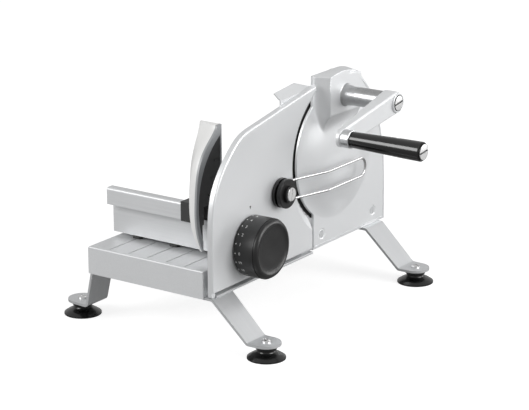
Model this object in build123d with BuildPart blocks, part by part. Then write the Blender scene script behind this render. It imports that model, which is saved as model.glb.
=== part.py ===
from build123d import *
from math import asin, atan2, cos, degrees, hypot, pi, radians, sin, sqrt, tan
import os

# Hand-cranked bread slicer, millimetres, +Z up.
# X runs from the loaf side to the slice side, Y along the carriage travel away from
# the user, and z = 0 is the worktop under the suction feet. The origin is the middle
# of the footprint of the whole object, crank handle included.

# ---------------------------------------------------------------- driving sizes
# Table: a folded sheet box, open below
TABLE_LEFT = -152.3
TABLE_WIDTH = 163.8
TABLE_FRONT = -184.7
TABLE_LENGTH = 360.0
TABLE_TOP = 92.5
TABLE_BOTTOM = 60.0
TABLE_SHEET = 2.0
GROOVE_COUNT = 5
GROOVE_PITCH = 26.9
GROOVE_FIRST = 28.3          # from the table's left edge
GROOVE_WIDTH = 1.6
GROOVE_DEPTH = 0.8

# Legs: one bent strip across the front and one across the rear
STRIP_THICKNESS = 3.0
STRIP_WIDTH = 38.0
STRIP_TOP = 62.0
PAD_RADIUS = 17.0
PAD_TOP = 18.8
FOOT_SPAN_X = 262.8
FOOT_SPAN_Y = 317.7
FOOT_CENTRE_X = -48.5
FOOT_CENTRE_Y = -4.7
PAD_INSET_RIGHT = 14.4       # from a right foot's axis to the inner bend of its pad
LEG_RUN_RIGHT = 46.0         # from that bend to where the leg leaves the table
PAD_INSET_LEFT = 20.6
LEG_RUN_LEFT = 9.7
STRIP_BEND = 4.0
CUP_RADIUS = 22.0
CUP_NECK = 12.0
SCREW_RADIUS = 2.5

# Blade and its housing on the slice side
BLADE_X = 12.0               # cutting plane
BLADE_Y = 73.3
BLADE_Z = 173.0
BLADE_RADIUS = 85.0
BLADE_THICKNESS = 1.4
BLADE_DISH = 3.0
BLADE_SCALLOPS = 60
BLADE_SCREW_CIRCLE = 23.0
BLADE_SCREW_RADIUS = 2.0
HOUSING_GAP = 3.0            # from the cutting plane to the casting's back face
HOUSING_WALL = 3.0
HOUSING_BOTTOM = 62.0
HOUSING_FRONT_Y = 27.5
HOUSING_REAR_Y = 185.55
HOUSING_TOP = 274.6
MOUTH_RADIUS = 81.0          # casting's rim along the blade
DOME_HEIGHT = 13.5
HUMP_HEIGHT = 17.5           # gearbox face above the casting's plate
HUMP_LEFT = 35.8
HUMP_RIGHT = 102.8
HUMP_ROOF = 276.0
HUMP_ROOF_Y = 61.0
HUMP_ROOF_RADIUS = 101.4
HUMP_DRAFT = 8.0
HUMP_FOOT = 205.0

# Gears: crank pinion above, blade wheel below
GEAR_MODULE = 2.0
PINION_TEETH = 24
WHEEL_TEETH = 49
GEAR_WIDTH = 5.3
GEAR_BACKLASH = 0.35
CRANK_Y = 69.6

# Crank
SHAFT_RADIUS = 6.0
TUBE_RADIUS = 11.4
TUBE_LENGTH = 50.0
BUSH_WALL = 3.0
BUSH_LENGTH = 8.0
ARM_REACH = 101.5
ARM_DROP = 12.0              # degrees below the horizontal at rest
ARM_HUB_RADIUS = 13.0
ARM_TIP_RADIUS = 10.8
ARM_HUB_THICKNESS = 20.5
ARM_TIP_THICKNESS = 11.5
SPINDLE_RADIUS = 4.0
FERRULE_RADIUS = 10.6
FERRULE_LENGTH = 10.0
GRIP_LENGTH = 91.5
GRIP_ROOT_RADIUS = 9.3
GRIP_END_RADIUS = 11.2
CAP_RADIUS = 9.3

# Stop plate, its knob and the slice holder
REST_CUT = 5.0               # slice thickness set in the rest position
STOP_THICKNESS = 7.0
STOP_SKIN = 2.5
STOP_FRONT_Y = -182.5
STOP_REAR_Y = 17.3
STOP_CORNER_Y = 24.3
STOP_BOTTOM = 67.5
STOP_TOE = 62.5
STOP_TOE_WIDTH = 6.0
STOP_TOP_REAR = 264.7
STOP_MOUTH_RADIUS = 89.0     # loaf side; the slice side is bevelled wider
STOP_BEVEL = 11.0
KNOB_Y = -110.5
KNOB_Z = 106.9
KNOB_RADIUS = 35.0
KNOB_LENGTH = 31.0
KNOB_DISH = 3.0
KNOB_RIM = 5.0
KNOB_PIVOT_RADIUS = 7.0
FOLLOWER_OFFSET = 25.0
FOLLOWER_RADIUS = 3.0
ROD_RADIUS = 4.0
ROD_LENGTH = 58.0
ROD_Z = 78.0
HOLDER_Y = -51.2
HOLDER_Z = 154.2
HOLDER_RADIUS = 17.3
HOLDER_STUD_RADIUS = 10.3
WIRE_RADIUS = 1.5
WIRE_GAP = 22.4
WIRE_REACH = 150.5
WIRE_JOGGLE = 13.8
WIRE_JOGGLE_LENGTH = 50.0
WIRE_BEND = 8.0
WIRE_JOGGLE_START = 20.5     # from the holder's axis

# Carriage
CARRIAGE_LEFT = -154.0
CARRIAGE_RIGHT = 9.8
CARRIAGE_FRONT = -134.7
CARRIAGE_DEPTH = 140.0
CARRIAGE_FLOOR = 98.0        # underside of the tray
CARRIAGE_SHEET = 1.5
FENCE_TOP = 134.0
LIP_TOP = 153.7
LIP_BOTTOM = 133.5
LIP_REACH = 11.3
LIP_WIDTH = 110.0
RUNNER_WIDTH = 12.0

# Pusher
PUSHER_X = -12.5             # its ribbed face
PUSHER_REAR = -113.5
PUSHER_TOP = 243.5
PUSHER_TIP = 98.0
PUSHER_RIB_PITCH = 18.5
PUSHER_RIBS = 3

# Fits
RUNNING = 0.05               # shaft in its hole, on the radius
SLIP = 0.3                   # between pieces that move past each other
SEAT = 0.02                  # pressed or screwed together, on the radius

# ---------------------------------------------------------------- places worked out
TABLE_RIGHT = TABLE_LEFT + TABLE_WIDTH
TABLE_REAR = TABLE_FRONT + TABLE_LENGTH
HOUSING_BACK = BLADE_X + HOUSING_GAP
HOUSING_FACE = HOUSING_BACK + HOUSING_WALL
HUMP_FACE = HOUSING_FACE + HUMP_HEIGHT
WHEEL_PITCH = GEAR_MODULE * WHEEL_TEETH / 2
PINION_PITCH = GEAR_MODULE * PINION_TEETH / 2
CRANK_Z = BLADE_Z + sqrt((WHEEL_PITCH + PINION_PITCH) ** 2 - (BLADE_Y - CRANK_Y) ** 2)
GEAR_X = HOUSING_BACK + 0.4
TUBE_END = HUMP_FACE + TUBE_LENGTH
ARM_X = TUBE_END + 1.5
GRIP_Y = CRANK_Y - ARM_REACH * cos(radians(ARM_DROP))
GRIP_Z = CRANK_Z - ARM_REACH * sin(radians(ARM_DROP))
FERRULE_X = ARM_X + ARM_TIP_THICKNESS
GRIP_X = FERRULE_X + FERRULE_LENGTH + SLIP
GRIP_END = GRIP_X + GRIP_LENGTH
STOP_BACK = BLADE_X + REST_CUT
STOP_FACE = STOP_BACK + STOP_THICKNESS
KNOB_X = STOP_FACE + 1.0
FOOT_LEFT = FOOT_CENTRE_X - FOOT_SPAN_X / 2
FOOT_RIGHT = FOOT_CENTRE_X + FOOT_SPAN_X / 2
FOOT_FRONT = FOOT_CENTRE_Y - FOOT_SPAN_Y / 2
FOOT_REAR = FOOT_CENTRE_Y + FOOT_SPAN_Y / 2
LEG_BEND_RIGHT = FOOT_RIGHT - PAD_INSET_RIGHT
LEG_KNEE_RIGHT = LEG_BEND_RIGHT - LEG_RUN_RIGHT
LEG_BEND_LEFT = FOOT_LEFT + PAD_INSET_LEFT
LEG_KNEE_LEFT = LEG_BEND_LEFT + LEG_RUN_LEFT
ROD_YS = (TABLE_FRONT + 30.0, -25.0)
FLOOR_TOP = CARRIAGE_FLOOR + CARRIAGE_SHEET
FENCE_BACK = CARRIAGE_FRONT + CARRIAGE_SHEET

os.makedirs("parts", exist_ok=True)


def save(piece, name):
    """Label a finished piece and write its STEP file."""
    piece.part.label = name
    export_step(piece.part, f"parts/{name}.step")


def lathe_plane(y, z):
    """Plane for a profile in (x, radius) that turns about the X line through y, z."""
    return Plane(origin=(0, y, z), x_dir=(1, 0, 0), z_dir=(0, -1, 0))


def x_axis(y, z):
    """The line along X through y, z."""
    return Axis((0, y, z), (1, 0, 0))


def gear_outline(teeth, turn):
    """Points of an involute gear, counter-clockwise, with one tooth centred on turn degrees."""
    pitch = GEAR_MODULE * teeth / 2
    base = pitch * cos(radians(20))
    tip = pitch + GEAR_MODULE
    root = pitch - 1.25 * GEAR_MODULE
    half = pi / (2 * teeth) - GEAR_BACKLASH / (2 * pitch)

    def spread(radius):
        flank = sqrt(max(radius ** 2 / base ** 2 - 1, 0))
        at_pitch = tan(radians(20)) - radians(20)
        return half + at_pitch - (flank - atan2(flank, 1))

    radii = (root, max(base, root + 0.5), pitch, tip)
    angles = (spread(base), spread(radii[1]), spread(pitch), spread(tip))
    points = []
    for tooth in range(teeth):
        middle = radians(turn) + 2 * pi * tooth / teeth
        for radius, angle in zip(radii, angles):
            points.append((radius * cos(middle - angle), radius * sin(middle - angle)))
        for radius, angle in reversed(list(zip(radii, angles))):
            points.append((radius * cos(middle + angle), radius * sin(middle + angle)))
    return points


# ---------------------------------------------------------------- table and legs
with BuildPart() as table:
    with BuildSketch(Plane.XY.offset(TABLE_BOTTOM)):
        with Locations(((TABLE_LEFT + TABLE_RIGHT) / 2, (TABLE_FRONT + TABLE_REAR) / 2)):
            Rectangle(TABLE_WIDTH, TABLE_LENGTH)
    extrude(amount=TABLE_TOP - TABLE_BOTTOM)
    fillet(table.edges().group_by(Axis.Z)[-1], radius=1.2)
    with BuildSketch(Plane.XY.offset(TABLE_BOTTOM)):
        with Locations(((TABLE_LEFT + TABLE_RIGHT) / 2, (TABLE_FRONT + TABLE_REAR) / 2)):
            Rectangle(TABLE_WIDTH - 2 * TABLE_SHEET, TABLE_LENGTH - 2 * TABLE_SHEET)
    extrude(amount=TABLE_TOP - TABLE_BOTTOM - TABLE_SHEET, mode=Mode.SUBTRACT)
    with BuildSketch(Plane.XY.offset(TABLE_TOP)):
        for i in range(GROOVE_COUNT):
            with Locations((TABLE_LEFT + GROOVE_FIRST + i * GROOVE_PITCH, (TABLE_FRONT + TABLE_REAR) / 2)):
                Rectangle(GROOVE_WIDTH, TABLE_LENGTH - 10.0)
    extrude(amount=-GROOVE_DEPTH, mode=Mode.SUBTRACT)
    # notches where the leg strips pass the side walls
    with BuildSketch(Plane.XY.offset(TABLE_BOTTOM)):
        with Locations(*[((TABLE_LEFT + TABLE_RIGHT) / 2, y) for y in (FOOT_FRONT, FOOT_REAR)]):
            Rectangle(TABLE_WIDTH + 2, STRIP_WIDTH + 2 * SLIP)
    extrude(amount=STRIP_TOP - TABLE_BOTTOM, mode=Mode.SUBTRACT)
    # holes for the stop plate's guide rods and for the knob's follower pin
    with BuildSketch(Plane.YZ.offset(TABLE_RIGHT - TABLE_SHEET - 1)):
        with Locations(*[(y, ROD_Z) for y in ROD_YS]):
            Circle(ROD_RADIUS + 2.0 + SEAT)
        with Locations((KNOB_Y, KNOB_Z - FOLLOWER_OFFSET)):
            Circle(FOLLOWER_RADIUS + SEAT)
    extrude(amount=TABLE_SHEET + 2, mode=Mode.SUBTRACT)
save(table, "table")

for side, foot_y in (("front", FOOT_FRONT), ("rear", FOOT_REAR)):
    with BuildPart() as leg_strip:
        with BuildSketch(Plane.XZ.offset(-foot_y)):
            with BuildLine():
                half = STRIP_THICKNESS / 2
                FilletPolyline(
                    (FOOT_LEFT - PAD_RADIUS - 1, PAD_TOP - half),
                    (LEG_BEND_LEFT, PAD_TOP - half),
                    (LEG_KNEE_LEFT, STRIP_TOP - half),
                    (LEG_KNEE_RIGHT, STRIP_TOP - half),
                    (LEG_BEND_RIGHT, PAD_TOP - half),
                    (FOOT_RIGHT + PAD_RADIUS + 1, PAD_TOP - half),
                    radius=STRIP_BEND,
                )
            trace(line_width=STRIP_THICKNESS)
        extrude(amount=STRIP_WIDTH, both=True)
        with BuildSketch(Plane.XY):
            with Locations((FOOT_LEFT, foot_y), (FOOT_RIGHT, foot_y)):
                Circle(PAD_RADIUS)
            with Locations(((LEG_KNEE_LEFT + LEG_KNEE_RIGHT) / 2, foot_y)):
                Rectangle(LEG_KNEE_RIGHT - LEG_KNEE_LEFT, STRIP_WIDTH)
            make_hull()
        extrude(amount=STRIP_TOP + 10, mode=Mode.INTERSECT)
        with BuildSketch(Plane.XY):
            with Locations((FOOT_LEFT, foot_y), (FOOT_RIGHT, foot_y)):
                Circle(SCREW_RADIUS + SEAT)
        extrude(amount=STRIP_TOP - 10, mode=Mode.SUBTRACT)
    save(leg_strip, f"{side}_leg_strip")

feet = {
    "front_left": (FOOT_LEFT, FOOT_FRONT),
    "front_right": (FOOT_RIGHT, FOOT_FRONT),
    "rear_left": (FOOT_LEFT, FOOT_REAR),
    "rear_right": (FOOT_RIGHT, FOOT_REAR),
}
for corner, (foot_x, foot_y) in feet.items():
    with BuildPart() as cup:
        with BuildSketch(Plane(origin=(foot_x, foot_y, 0), x_dir=(1, 0, 0), z_dir=(0, -1, 0))):
            with BuildLine():
                cup_top = PAD_TOP - STRIP_THICKNESS
                Polyline((0, 4.5), (6, 4.5), (CUP_RADIUS - 2.5, 0), (CUP_RADIUS, 0), (CUP_RADIUS, 1.5))
                Spline((CUP_RADIUS, 1.5), (CUP_RADIUS - 5.5, 5.0), (CUP_NECK - 1.5, 9.0),
                       tangents=[(-1, 0.6), (-0.5, 1)])
                Polyline((CUP_NECK - 1.5, 9.0), (CUP_NECK - 1.5, 10.5), (CUP_NECK, 11.5),
                         (CUP_NECK, cup_top), (0, cup_top), (0, 4.5))
            make_face()
        revolve(axis=Axis((foot_x, foot_y, 0), (0, 0, 1)))
        with BuildSketch(Plane((foot_x, foot_y, cup_top))):
            Circle(SCREW_RADIUS + SEAT)
        extrude(amount=-8.0, mode=Mode.SUBTRACT)
    save(cup, f"suction_cup_{corner}")

with BuildPart() as foot_screws:
    for foot_x, foot_y in feet.values():
        with BuildSketch(Plane(origin=(foot_x, foot_y, 0), x_dir=(1, 0, 0), z_dir=(0, -1, 0))):
            with BuildLine():
                Polyline((0, PAD_TOP - 10.5), (SCREW_RADIUS, PAD_TOP - 10.5), (SCREW_RADIUS, PAD_TOP),
                         (5.5, PAD_TOP), (5.5, PAD_TOP + 1.2))
                ThreePointArc((5.5, PAD_TOP + 1.2), (3.2, PAD_TOP + 2.5), (0, PAD_TOP + 3.0))
                Line((0, PAD_TOP + 3.0), (0, PAD_TOP - 10.5))
            make_face()
        revolve(axis=Axis((foot_x, foot_y, 0), (0, 0, 1)))
        with BuildSketch(Plane((foot_x, foot_y, PAD_TOP + 3.5))):
            Rectangle(12, 1.2)
        extrude(amount=-1.7, mode=Mode.SUBTRACT)
save(foot_screws, "foot_screws")

# ---------------------------------------------------------------- housing casting
RAIL_THICKNESS = 2.5


def roof_z(y):
    """Height of the gearbox roof, an arc, over y."""
    return HUMP_ROOF - HUMP_ROOF_RADIUS + sqrt(HUMP_ROOF_RADIUS ** 2 - (y - HUMP_ROOF_Y) ** 2)


def hump_outline(left, right, foot):
    """Outline of the gearbox hump between two sides, with the arched roof."""
    ThreePointArc((left, roof_z(left)), (HUMP_ROOF_Y, HUMP_ROOF), (right, roof_z(right)))
    Polyline((right, roof_z(right)), (right, foot), (left, foot), (left, roof_z(left)))


with BuildPart() as housing:
    mouth_low = BLADE_Z - sqrt(MOUTH_RADIUS ** 2 - (BLADE_Y - HOUSING_FRONT_Y) ** 2)
    corner_y = STOP_CORNER_Y + 0.6
    mouth_high = BLADE_Z + sqrt(MOUTH_RADIUS ** 2 - (BLADE_Y - corner_y) ** 2)
    with BuildSketch(Plane.YZ.offset(HOUSING_BACK)):
        with BuildLine():
            Line((HOUSING_FRONT_Y, HOUSING_BOTTOM), (HOUSING_FRONT_Y, mouth_low))
            ThreePointArc((HOUSING_FRONT_Y, mouth_low), (BLADE_Y - MOUTH_RADIUS, BLADE_Z),
                          (corner_y, mouth_high))
            Polyline((corner_y, mouth_high), (corner_y, HOUSING_TOP), (79.0, HOUSING_TOP))
            Spline((79.0, HOUSING_TOP), (120.0, 262.0), (148.3, 236.3), (177.5, 173.0),
                   (HOUSING_REAR_Y, 105.0), tangents=[(1, 0), (0, -1)])
            Polyline((HOUSING_REAR_Y, 105.0), (HOUSING_REAR_Y, HOUSING_BOTTOM),
                     (HOUSING_FRONT_Y, HOUSING_BOTTOM))
        make_face()
    extrude(amount=HOUSING_WALL)
    # dome over the blade wheel
    with BuildSketch(lathe_plane(BLADE_Y, BLADE_Z)):
        with BuildLine():
            dome_top = HOUSING_FACE + DOME_HEIGHT
            Line((HOUSING_BACK, 0), (HOUSING_BACK, MOUTH_RADIUS - 1))
            Line((HOUSING_BACK, MOUTH_RADIUS - 1), (HOUSING_FACE, MOUTH_RADIUS - 1))
            Spline((HOUSING_FACE, MOUTH_RADIUS - 1), (HOUSING_FACE + 4.5, 64.0),
                   (HOUSING_FACE + 11.5, 42.0), (dome_top, 22.0), tangents=[(0.12, -1), (0, -1)])
            Polyline((dome_top, 22.0), (dome_top, 0), (HOUSING_BACK, 0))
        make_face()
    revolve(axis=x_axis(BLADE_Y, BLADE_Z))
    # gearbox hump
    with BuildSketch(Plane.YZ.offset(HOUSING_FACE - 0.5)):
        with BuildLine():
            hump_outline(HUMP_LEFT - HUMP_DRAFT, HUMP_RIGHT + HUMP_DRAFT, HUMP_FOOT - 2 * HUMP_DRAFT)
        make_face()
    with BuildSketch(Plane.YZ.offset(HUMP_FACE)):
        with BuildLine():
            hump_outline(HUMP_LEFT, HUMP_RIGHT, HUMP_FOOT)
        make_face()
    loft()
    # cavities from the back: blade wheel under the dome, pinion under the hump
    with BuildSketch(lathe_plane(BLADE_Y, BLADE_Z)):
        with BuildLine():
            Polyline((HOUSING_BACK - 1, 0), (HOUSING_BACK - 1, MOUTH_RADIUS - 4),
                     (HOUSING_BACK, MOUTH_RADIUS - 4))
            Spline((HOUSING_BACK, MOUTH_RADIUS - 4), (HOUSING_BACK + 4.5, 61.0),
                   (HOUSING_BACK + 10.5, 41.0), (dome_top - HOUSING_WALL, 21.0),
                   tangents=[(0.12, -1), (0, -1)])
            Polyline((dome_top - HOUSING_WALL, 21.0), (dome_top - HOUSING_WALL, 0),
                     (HOUSING_BACK - 1, 0))
        make_face()
    revolve(axis=x_axis(BLADE_Y, BLADE_Z), mode=Mode.SUBTRACT)
    with BuildSketch(Plane.YZ.offset(HOUSING_BACK)):
        with Locations((CRANK_Y, CRANK_Z)):
            Circle(PINION_PITCH + GEAR_MODULE + 1.3)
    extrude(amount=HUMP_FACE - HOUSING_BACK - 4.5, mode=Mode.SUBTRACT)
    # bosses for the blade axle and for the crank's bearing tube
    with BuildSketch(Plane.YZ.offset(HOUSING_FACE + 6.5)):
        with Locations((BLADE_Y, BLADE_Z)):
            Circle(14.0)
    extrude(amount=DOME_HEIGHT - 6.5)
    with BuildSketch(Plane.YZ.offset(GEAR_X + GEAR_WIDTH + 2.0)):
        with Locations((CRANK_Y, CRANK_Z)):
            Circle(15.0)
    extrude(amount=HUMP_FACE - GEAR_X - GEAR_WIDTH - 2.0)
    with BuildSketch(Plane.YZ.offset(HOUSING_BACK)):
        with Locations((CRANK_Y, CRANK_Z)):
            Circle(TUBE_RADIUS - 1.0 + SEAT)
    extrude(amount=HUMP_HEIGHT + HOUSING_WALL, mode=Mode.SUBTRACT)
    with BuildSketch(Plane.YZ.offset(HOUSING_BACK)):
        with Locations((BLADE_Y, BLADE_Z)):
            Circle(8.0 + SEAT)
    extrude(amount=dome_top - HOUSING_BACK - 2.0, mode=Mode.SUBTRACT)
    # screw holes into the table's side
    with BuildSketch(Plane.YZ.offset(HOUSING_BACK)):
        with Locations((45.0, 78.1), (157.7, 79.2)):
            Circle(2.0 + SEAT)
    extrude(amount=HOUSING_WALL, mode=Mode.SUBTRACT)
    with BuildSketch(Plane.YZ.offset(HOUSING_FACE - 1.2)):
        with Locations((45.0, 78.1), (157.7, 79.2)):
            Circle(4.6 + SEAT)
    extrude(amount=1.2, mode=Mode.SUBTRACT)
save(housing, "housing")

# spacer that carries the casting off the table's side
with BuildPart() as housing_spacer:
    with BuildSketch(Plane.YZ.offset(TABLE_RIGHT)):
        with Locations(((HOUSING_FRONT_Y + TABLE_REAR) / 2, 75.0)):
            RectangleRounded(TABLE_REAR - HOUSING_FRONT_Y - 6.0, 18.0, 3.0)
        with Locations((45.0, 78.1), (157.7, 79.2)):
            Circle(2.0 + SEAT, mode=Mode.SUBTRACT)
    extrude(amount=HOUSING_BACK - TABLE_RIGHT)
save(housing_spacer, "housing_spacer")

with BuildPart() as housing_screws:
    for screw_y, screw_z in ((45.0, 78.1), (157.7, 79.2)):
        with BuildSketch(Plane.YZ.offset(TABLE_RIGHT)):
            with Locations((screw_y, screw_z)):
                Circle(2.0)
        extrude(amount=HOUSING_FACE - TABLE_RIGHT - 1.2)
        with BuildSketch(Plane.YZ.offset(HOUSING_FACE - 1.2)):
            with Locations((screw_y, screw_z)):
                Circle(4.6)
        extrude(amount=1.2)
        with BuildSketch(Plane.YZ.offset(HOUSING_FACE - 0.7)):
            with Locations((screw_y, screw_z)):
                Rectangle(1.0, 10.0)
        extrude(amount=1.0, mode=Mode.SUBTRACT)
save(housing_screws, "housing_screws")

with BuildPart() as gear_cover:
    with BuildSketch(Plane.YZ.offset(HOUSING_BACK - 1.8)):
        with Locations((CRANK_Y, CRANK_Z)):
            Circle(PINION_PITCH + GEAR_MODULE + 2.2)
        with Locations((BLADE_Y, BLADE_Z)):
            Circle(BLADE_RADIUS + 1.5, mode=Mode.SUBTRACT)
    extrude(amount=1.8)
save(gear_cover, "gear_cover")

with BuildPart() as bearing_tube:
    spigot_x = GEAR_X + GEAR_WIDTH + 2.5
    with BuildSketch(lathe_plane(CRANK_Y, CRANK_Z)):
        with BuildLine():
            bore = SHAFT_RADIUS + BUSH_WALL + SEAT
            Polyline((spigot_x, bore), (spigot_x, TUBE_RADIUS - 1.0), (HUMP_FACE, TUBE_RADIUS - 1.0),
                     (HUMP_FACE, TUBE_RADIUS + 2.4))
            Spline((HUMP_FACE, TUBE_RADIUS + 2.4), (HUMP_FACE + 4.0, TUBE_RADIUS + 0.9),
                   (HUMP_FACE + 14.0, TUBE_RADIUS), tangents=[(0.4, -0.6), (1, 0)])
            Polyline((HUMP_FACE + 14.0, TUBE_RADIUS), (TUBE_END, TUBE_RADIUS), (TUBE_END, bore),
                     (spigot_x, bore))
        make_face()
    revolve(axis=x_axis(CRANK_Y, CRANK_Z))
save(bearing_tube, "bearing_tube")

with BuildPart() as crank_bushes:
    for bush_x in (spigot_x + 1.0, TUBE_END - BUSH_LENGTH):
        with BuildSketch(Plane.YZ.offset(bush_x)):
            with Locations((CRANK_Y, CRANK_Z)):
                Circle(SHAFT_RADIUS + BUSH_WALL)
                Circle(SHAFT_RADIUS + RUNNING, mode=Mode.SUBTRACT)
        extrude(amount=BUSH_LENGTH)
save(crank_bushes, "crank_bushes")

# ---------------------------------------------------------------- blade
AXLE_RADIUS = 8.0
HUB_X = BLADE_X + BLADE_DISH + BLADE_THICKNESS
with BuildPart() as blade_axle:
    with BuildSketch(Plane.YZ.offset(BLADE_X + BLADE_DISH)):
        with Locations((BLADE_Y, BLADE_Z)):
            Circle(AXLE_RADIUS)
            Circle(3.0 + SEAT, mode=Mode.SUBTRACT)
    extrude(amount=dome_top - 2.2 - BLADE_X - BLADE_DISH)
save(blade_axle, "blade_axle")

with BuildPart() as blade_bolt:
    with BuildSketch(Plane.YZ.offset(BLADE_X + 0.4)):
        with Locations((BLADE_Y, BLADE_Z)):
            Circle(15.0)
    extrude(amount=BLADE_DISH - 0.4 - SLIP)
    chamfer(blade_bolt.edges().group_by(Axis.X)[0], length=0.8)
    with BuildSketch(Plane.YZ.offset(BLADE_X + BLADE_DISH - SLIP - 0.2)):
        with Locations((BLADE_Y, BLADE_Z)):
            Circle(3.0)
    extrude(amount=9.0)
    with BuildSketch(Plane.YZ.offset(BLADE_X - 1)):
        with Locations((BLADE_Y, BLADE_Z)):
            Rectangle(19.0, 2.4)
    extrude(amount=2.6, mode=Mode.SUBTRACT)
save(blade_bolt, "blade_bolt")

with BuildPart() as blade:
    with BuildSketch(lathe_plane(BLADE_Y, BLADE_Z)):
        with BuildLine():
            back = BLADE_X + BLADE_THICKNESS
            Polyline((BLADE_X, BLADE_RADIUS), (BLADE_X, 34.0), (BLADE_X + BLADE_DISH, 31.0),
                     (BLADE_X + BLADE_DISH, AXLE_RADIUS + RUNNING), (HUB_X, AXLE_RADIUS + RUNNING),
                     (HUB_X, 32.0), (back, 35.0), (back, BLADE_RADIUS - 8.0),
                     (BLADE_X + 0.4, BLADE_RADIUS), (BLADE_X, BLADE_RADIUS))
        make_face()
    revolve(axis=x_axis(BLADE_Y, BLADE_Z))
    with BuildSketch(Plane.YZ.offset(BLADE_X - 1)):
        with Locations((BLADE_Y, BLADE_Z)):
            with PolarLocations(BLADE_RADIUS + 2.2, BLADE_SCALLOPS):
                Circle(3.4)
    extrude(amount=BLADE_THICKNESS + 2, mode=Mode.SUBTRACT)
    with BuildSketch(Plane.YZ.offset(BLADE_X)):
        with Locations((BLADE_Y, BLADE_Z)):
            with PolarLocations(BLADE_SCREW_CIRCLE, 3, start_angle=30.0):
                Circle(BLADE_SCREW_RADIUS + SEAT)
    extrude(amount=10.0, mode=Mode.SUBTRACT)
save(blade, "blade")

with BuildPart() as blade_screws:
    for turn in (30.0, 150.0, 270.0):
        screw_y = BLADE_Y + BLADE_SCREW_CIRCLE * cos(radians(turn))
        screw_z = BLADE_Z + BLADE_SCREW_CIRCLE * sin(radians(turn))
        with BuildSketch(lathe_plane(screw_y, screw_z)):
            with BuildLine():
                seat_x = BLADE_X + BLADE_DISH
                thread = BLADE_SCREW_RADIUS
                Polyline((seat_x - 1.8, 0), (seat_x - 1.8, thread + 1.0), (seat_x - 1.0, thread + 1.8),
                         (seat_x, thread + 1.8), (seat_x, thread), (seat_x + 5.5, thread),
                         (seat_x + 5.5, 0), (seat_x - 1.8, 0))
            make_face()
        revolve(axis=x_axis(screw_y, screw_z))
save(blade_screws, "blade_screws")

with BuildPart() as blade_gear:
    centre_line = degrees(atan2(CRANK_Z - BLADE_Z, CRANK_Y - BLADE_Y))
    with BuildSketch(Plane.YZ.offset(GEAR_X)):
        with Locations((BLADE_Y, BLADE_Z)):
            Polygon(*gear_outline(WHEEL_TEETH, centre_line), align=None)
    extrude(amount=GEAR_WIDTH)
    with BuildSketch(Plane.YZ.offset(GEAR_X + GEAR_WIDTH)):
        with Locations((BLADE_Y, BLADE_Z)):
            Circle(13.0)
    extrude(amount=HOUSING_FACE + 6.5 - SLIP - GEAR_X - GEAR_WIDTH)
    with BuildSketch(Plane.YZ.offset(GEAR_X)):
        with Locations((BLADE_Y, BLADE_Z)):
            Circle(36.0)
    extrude(amount=HUB_X - GEAR_X, mode=Mode.SUBTRACT)
    with BuildSketch(Plane.YZ.offset(GEAR_X)):
        with Locations((BLADE_Y, BLADE_Z)):
            Circle(AXLE_RADIUS + RUNNING)
    extrude(amount=20.0, mode=Mode.SUBTRACT)
    with BuildSketch(Plane.YZ.offset(GEAR_X)):
        with Locations((BLADE_Y, BLADE_Z)):
            with PolarLocations(BLADE_SCREW_CIRCLE, 3, start_angle=30.0):
                Circle(BLADE_SCREW_RADIUS + SEAT)
    extrude(amount=GEAR_WIDTH, mode=Mode.SUBTRACT)
save(blade_gear, "blade_gear")

# ---------------------------------------------------------------- crank
with BuildPart() as crank_pinion:
    with BuildSketch(Plane.YZ.offset(GEAR_X)):
        with Locations((CRANK_Y, CRANK_Z)):
            Polygon(*gear_outline(PINION_TEETH, centre_line + 180 + 180 / PINION_TEETH), align=None)
    extrude(amount=GEAR_WIDTH)
    with BuildSketch(Plane.YZ.offset(GEAR_X + GEAR_WIDTH)):
        with Locations((CRANK_Y, CRANK_Z)):
            Circle(10.0)
    extrude(amount=1.7)
    with BuildSketch(Plane.YZ.offset(GEAR_X)):
        with Locations((CRANK_Y, CRANK_Z)):
            Circle(SHAFT_RADIUS + SEAT)
    extrude(amount=10.0, mode=Mode.SUBTRACT)
save(crank_pinion, "crank_pinion")

with BuildPart() as crank_shaft:
    with BuildSketch(Plane.YZ.offset(GEAR_X + 0.3)):
        with Locations((CRANK_Y, CRANK_Z)):
            Circle(SHAFT_RADIUS)
    extrude(amount=ARM_X + 14.0 - GEAR_X - 0.3)
    chamfer(crank_shaft.edges(), length=0.6)
    with BuildSketch(Plane.YZ.offset(ARM_X)):
        with Locations((CRANK_Y, CRANK_Z)):
            Circle(3.0 + SEAT)
    extrude(amount=15.0, mode=Mode.SUBTRACT)
save(crank_shaft, "crank_shaft")

with BuildPart() as crank_washer:
    with BuildSketch(Plane.YZ.offset(TUBE_END + SLIP)):
        with Locations((CRANK_Y, CRANK_Z)):
            Circle(TUBE_RADIUS - 0.8)
            Circle(SHAFT_RADIUS + SEAT, mode=Mode.SUBTRACT)
    extrude(amount=ARM_X - TUBE_END - SLIP)
save(crank_washer, "crank_washer")

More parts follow.
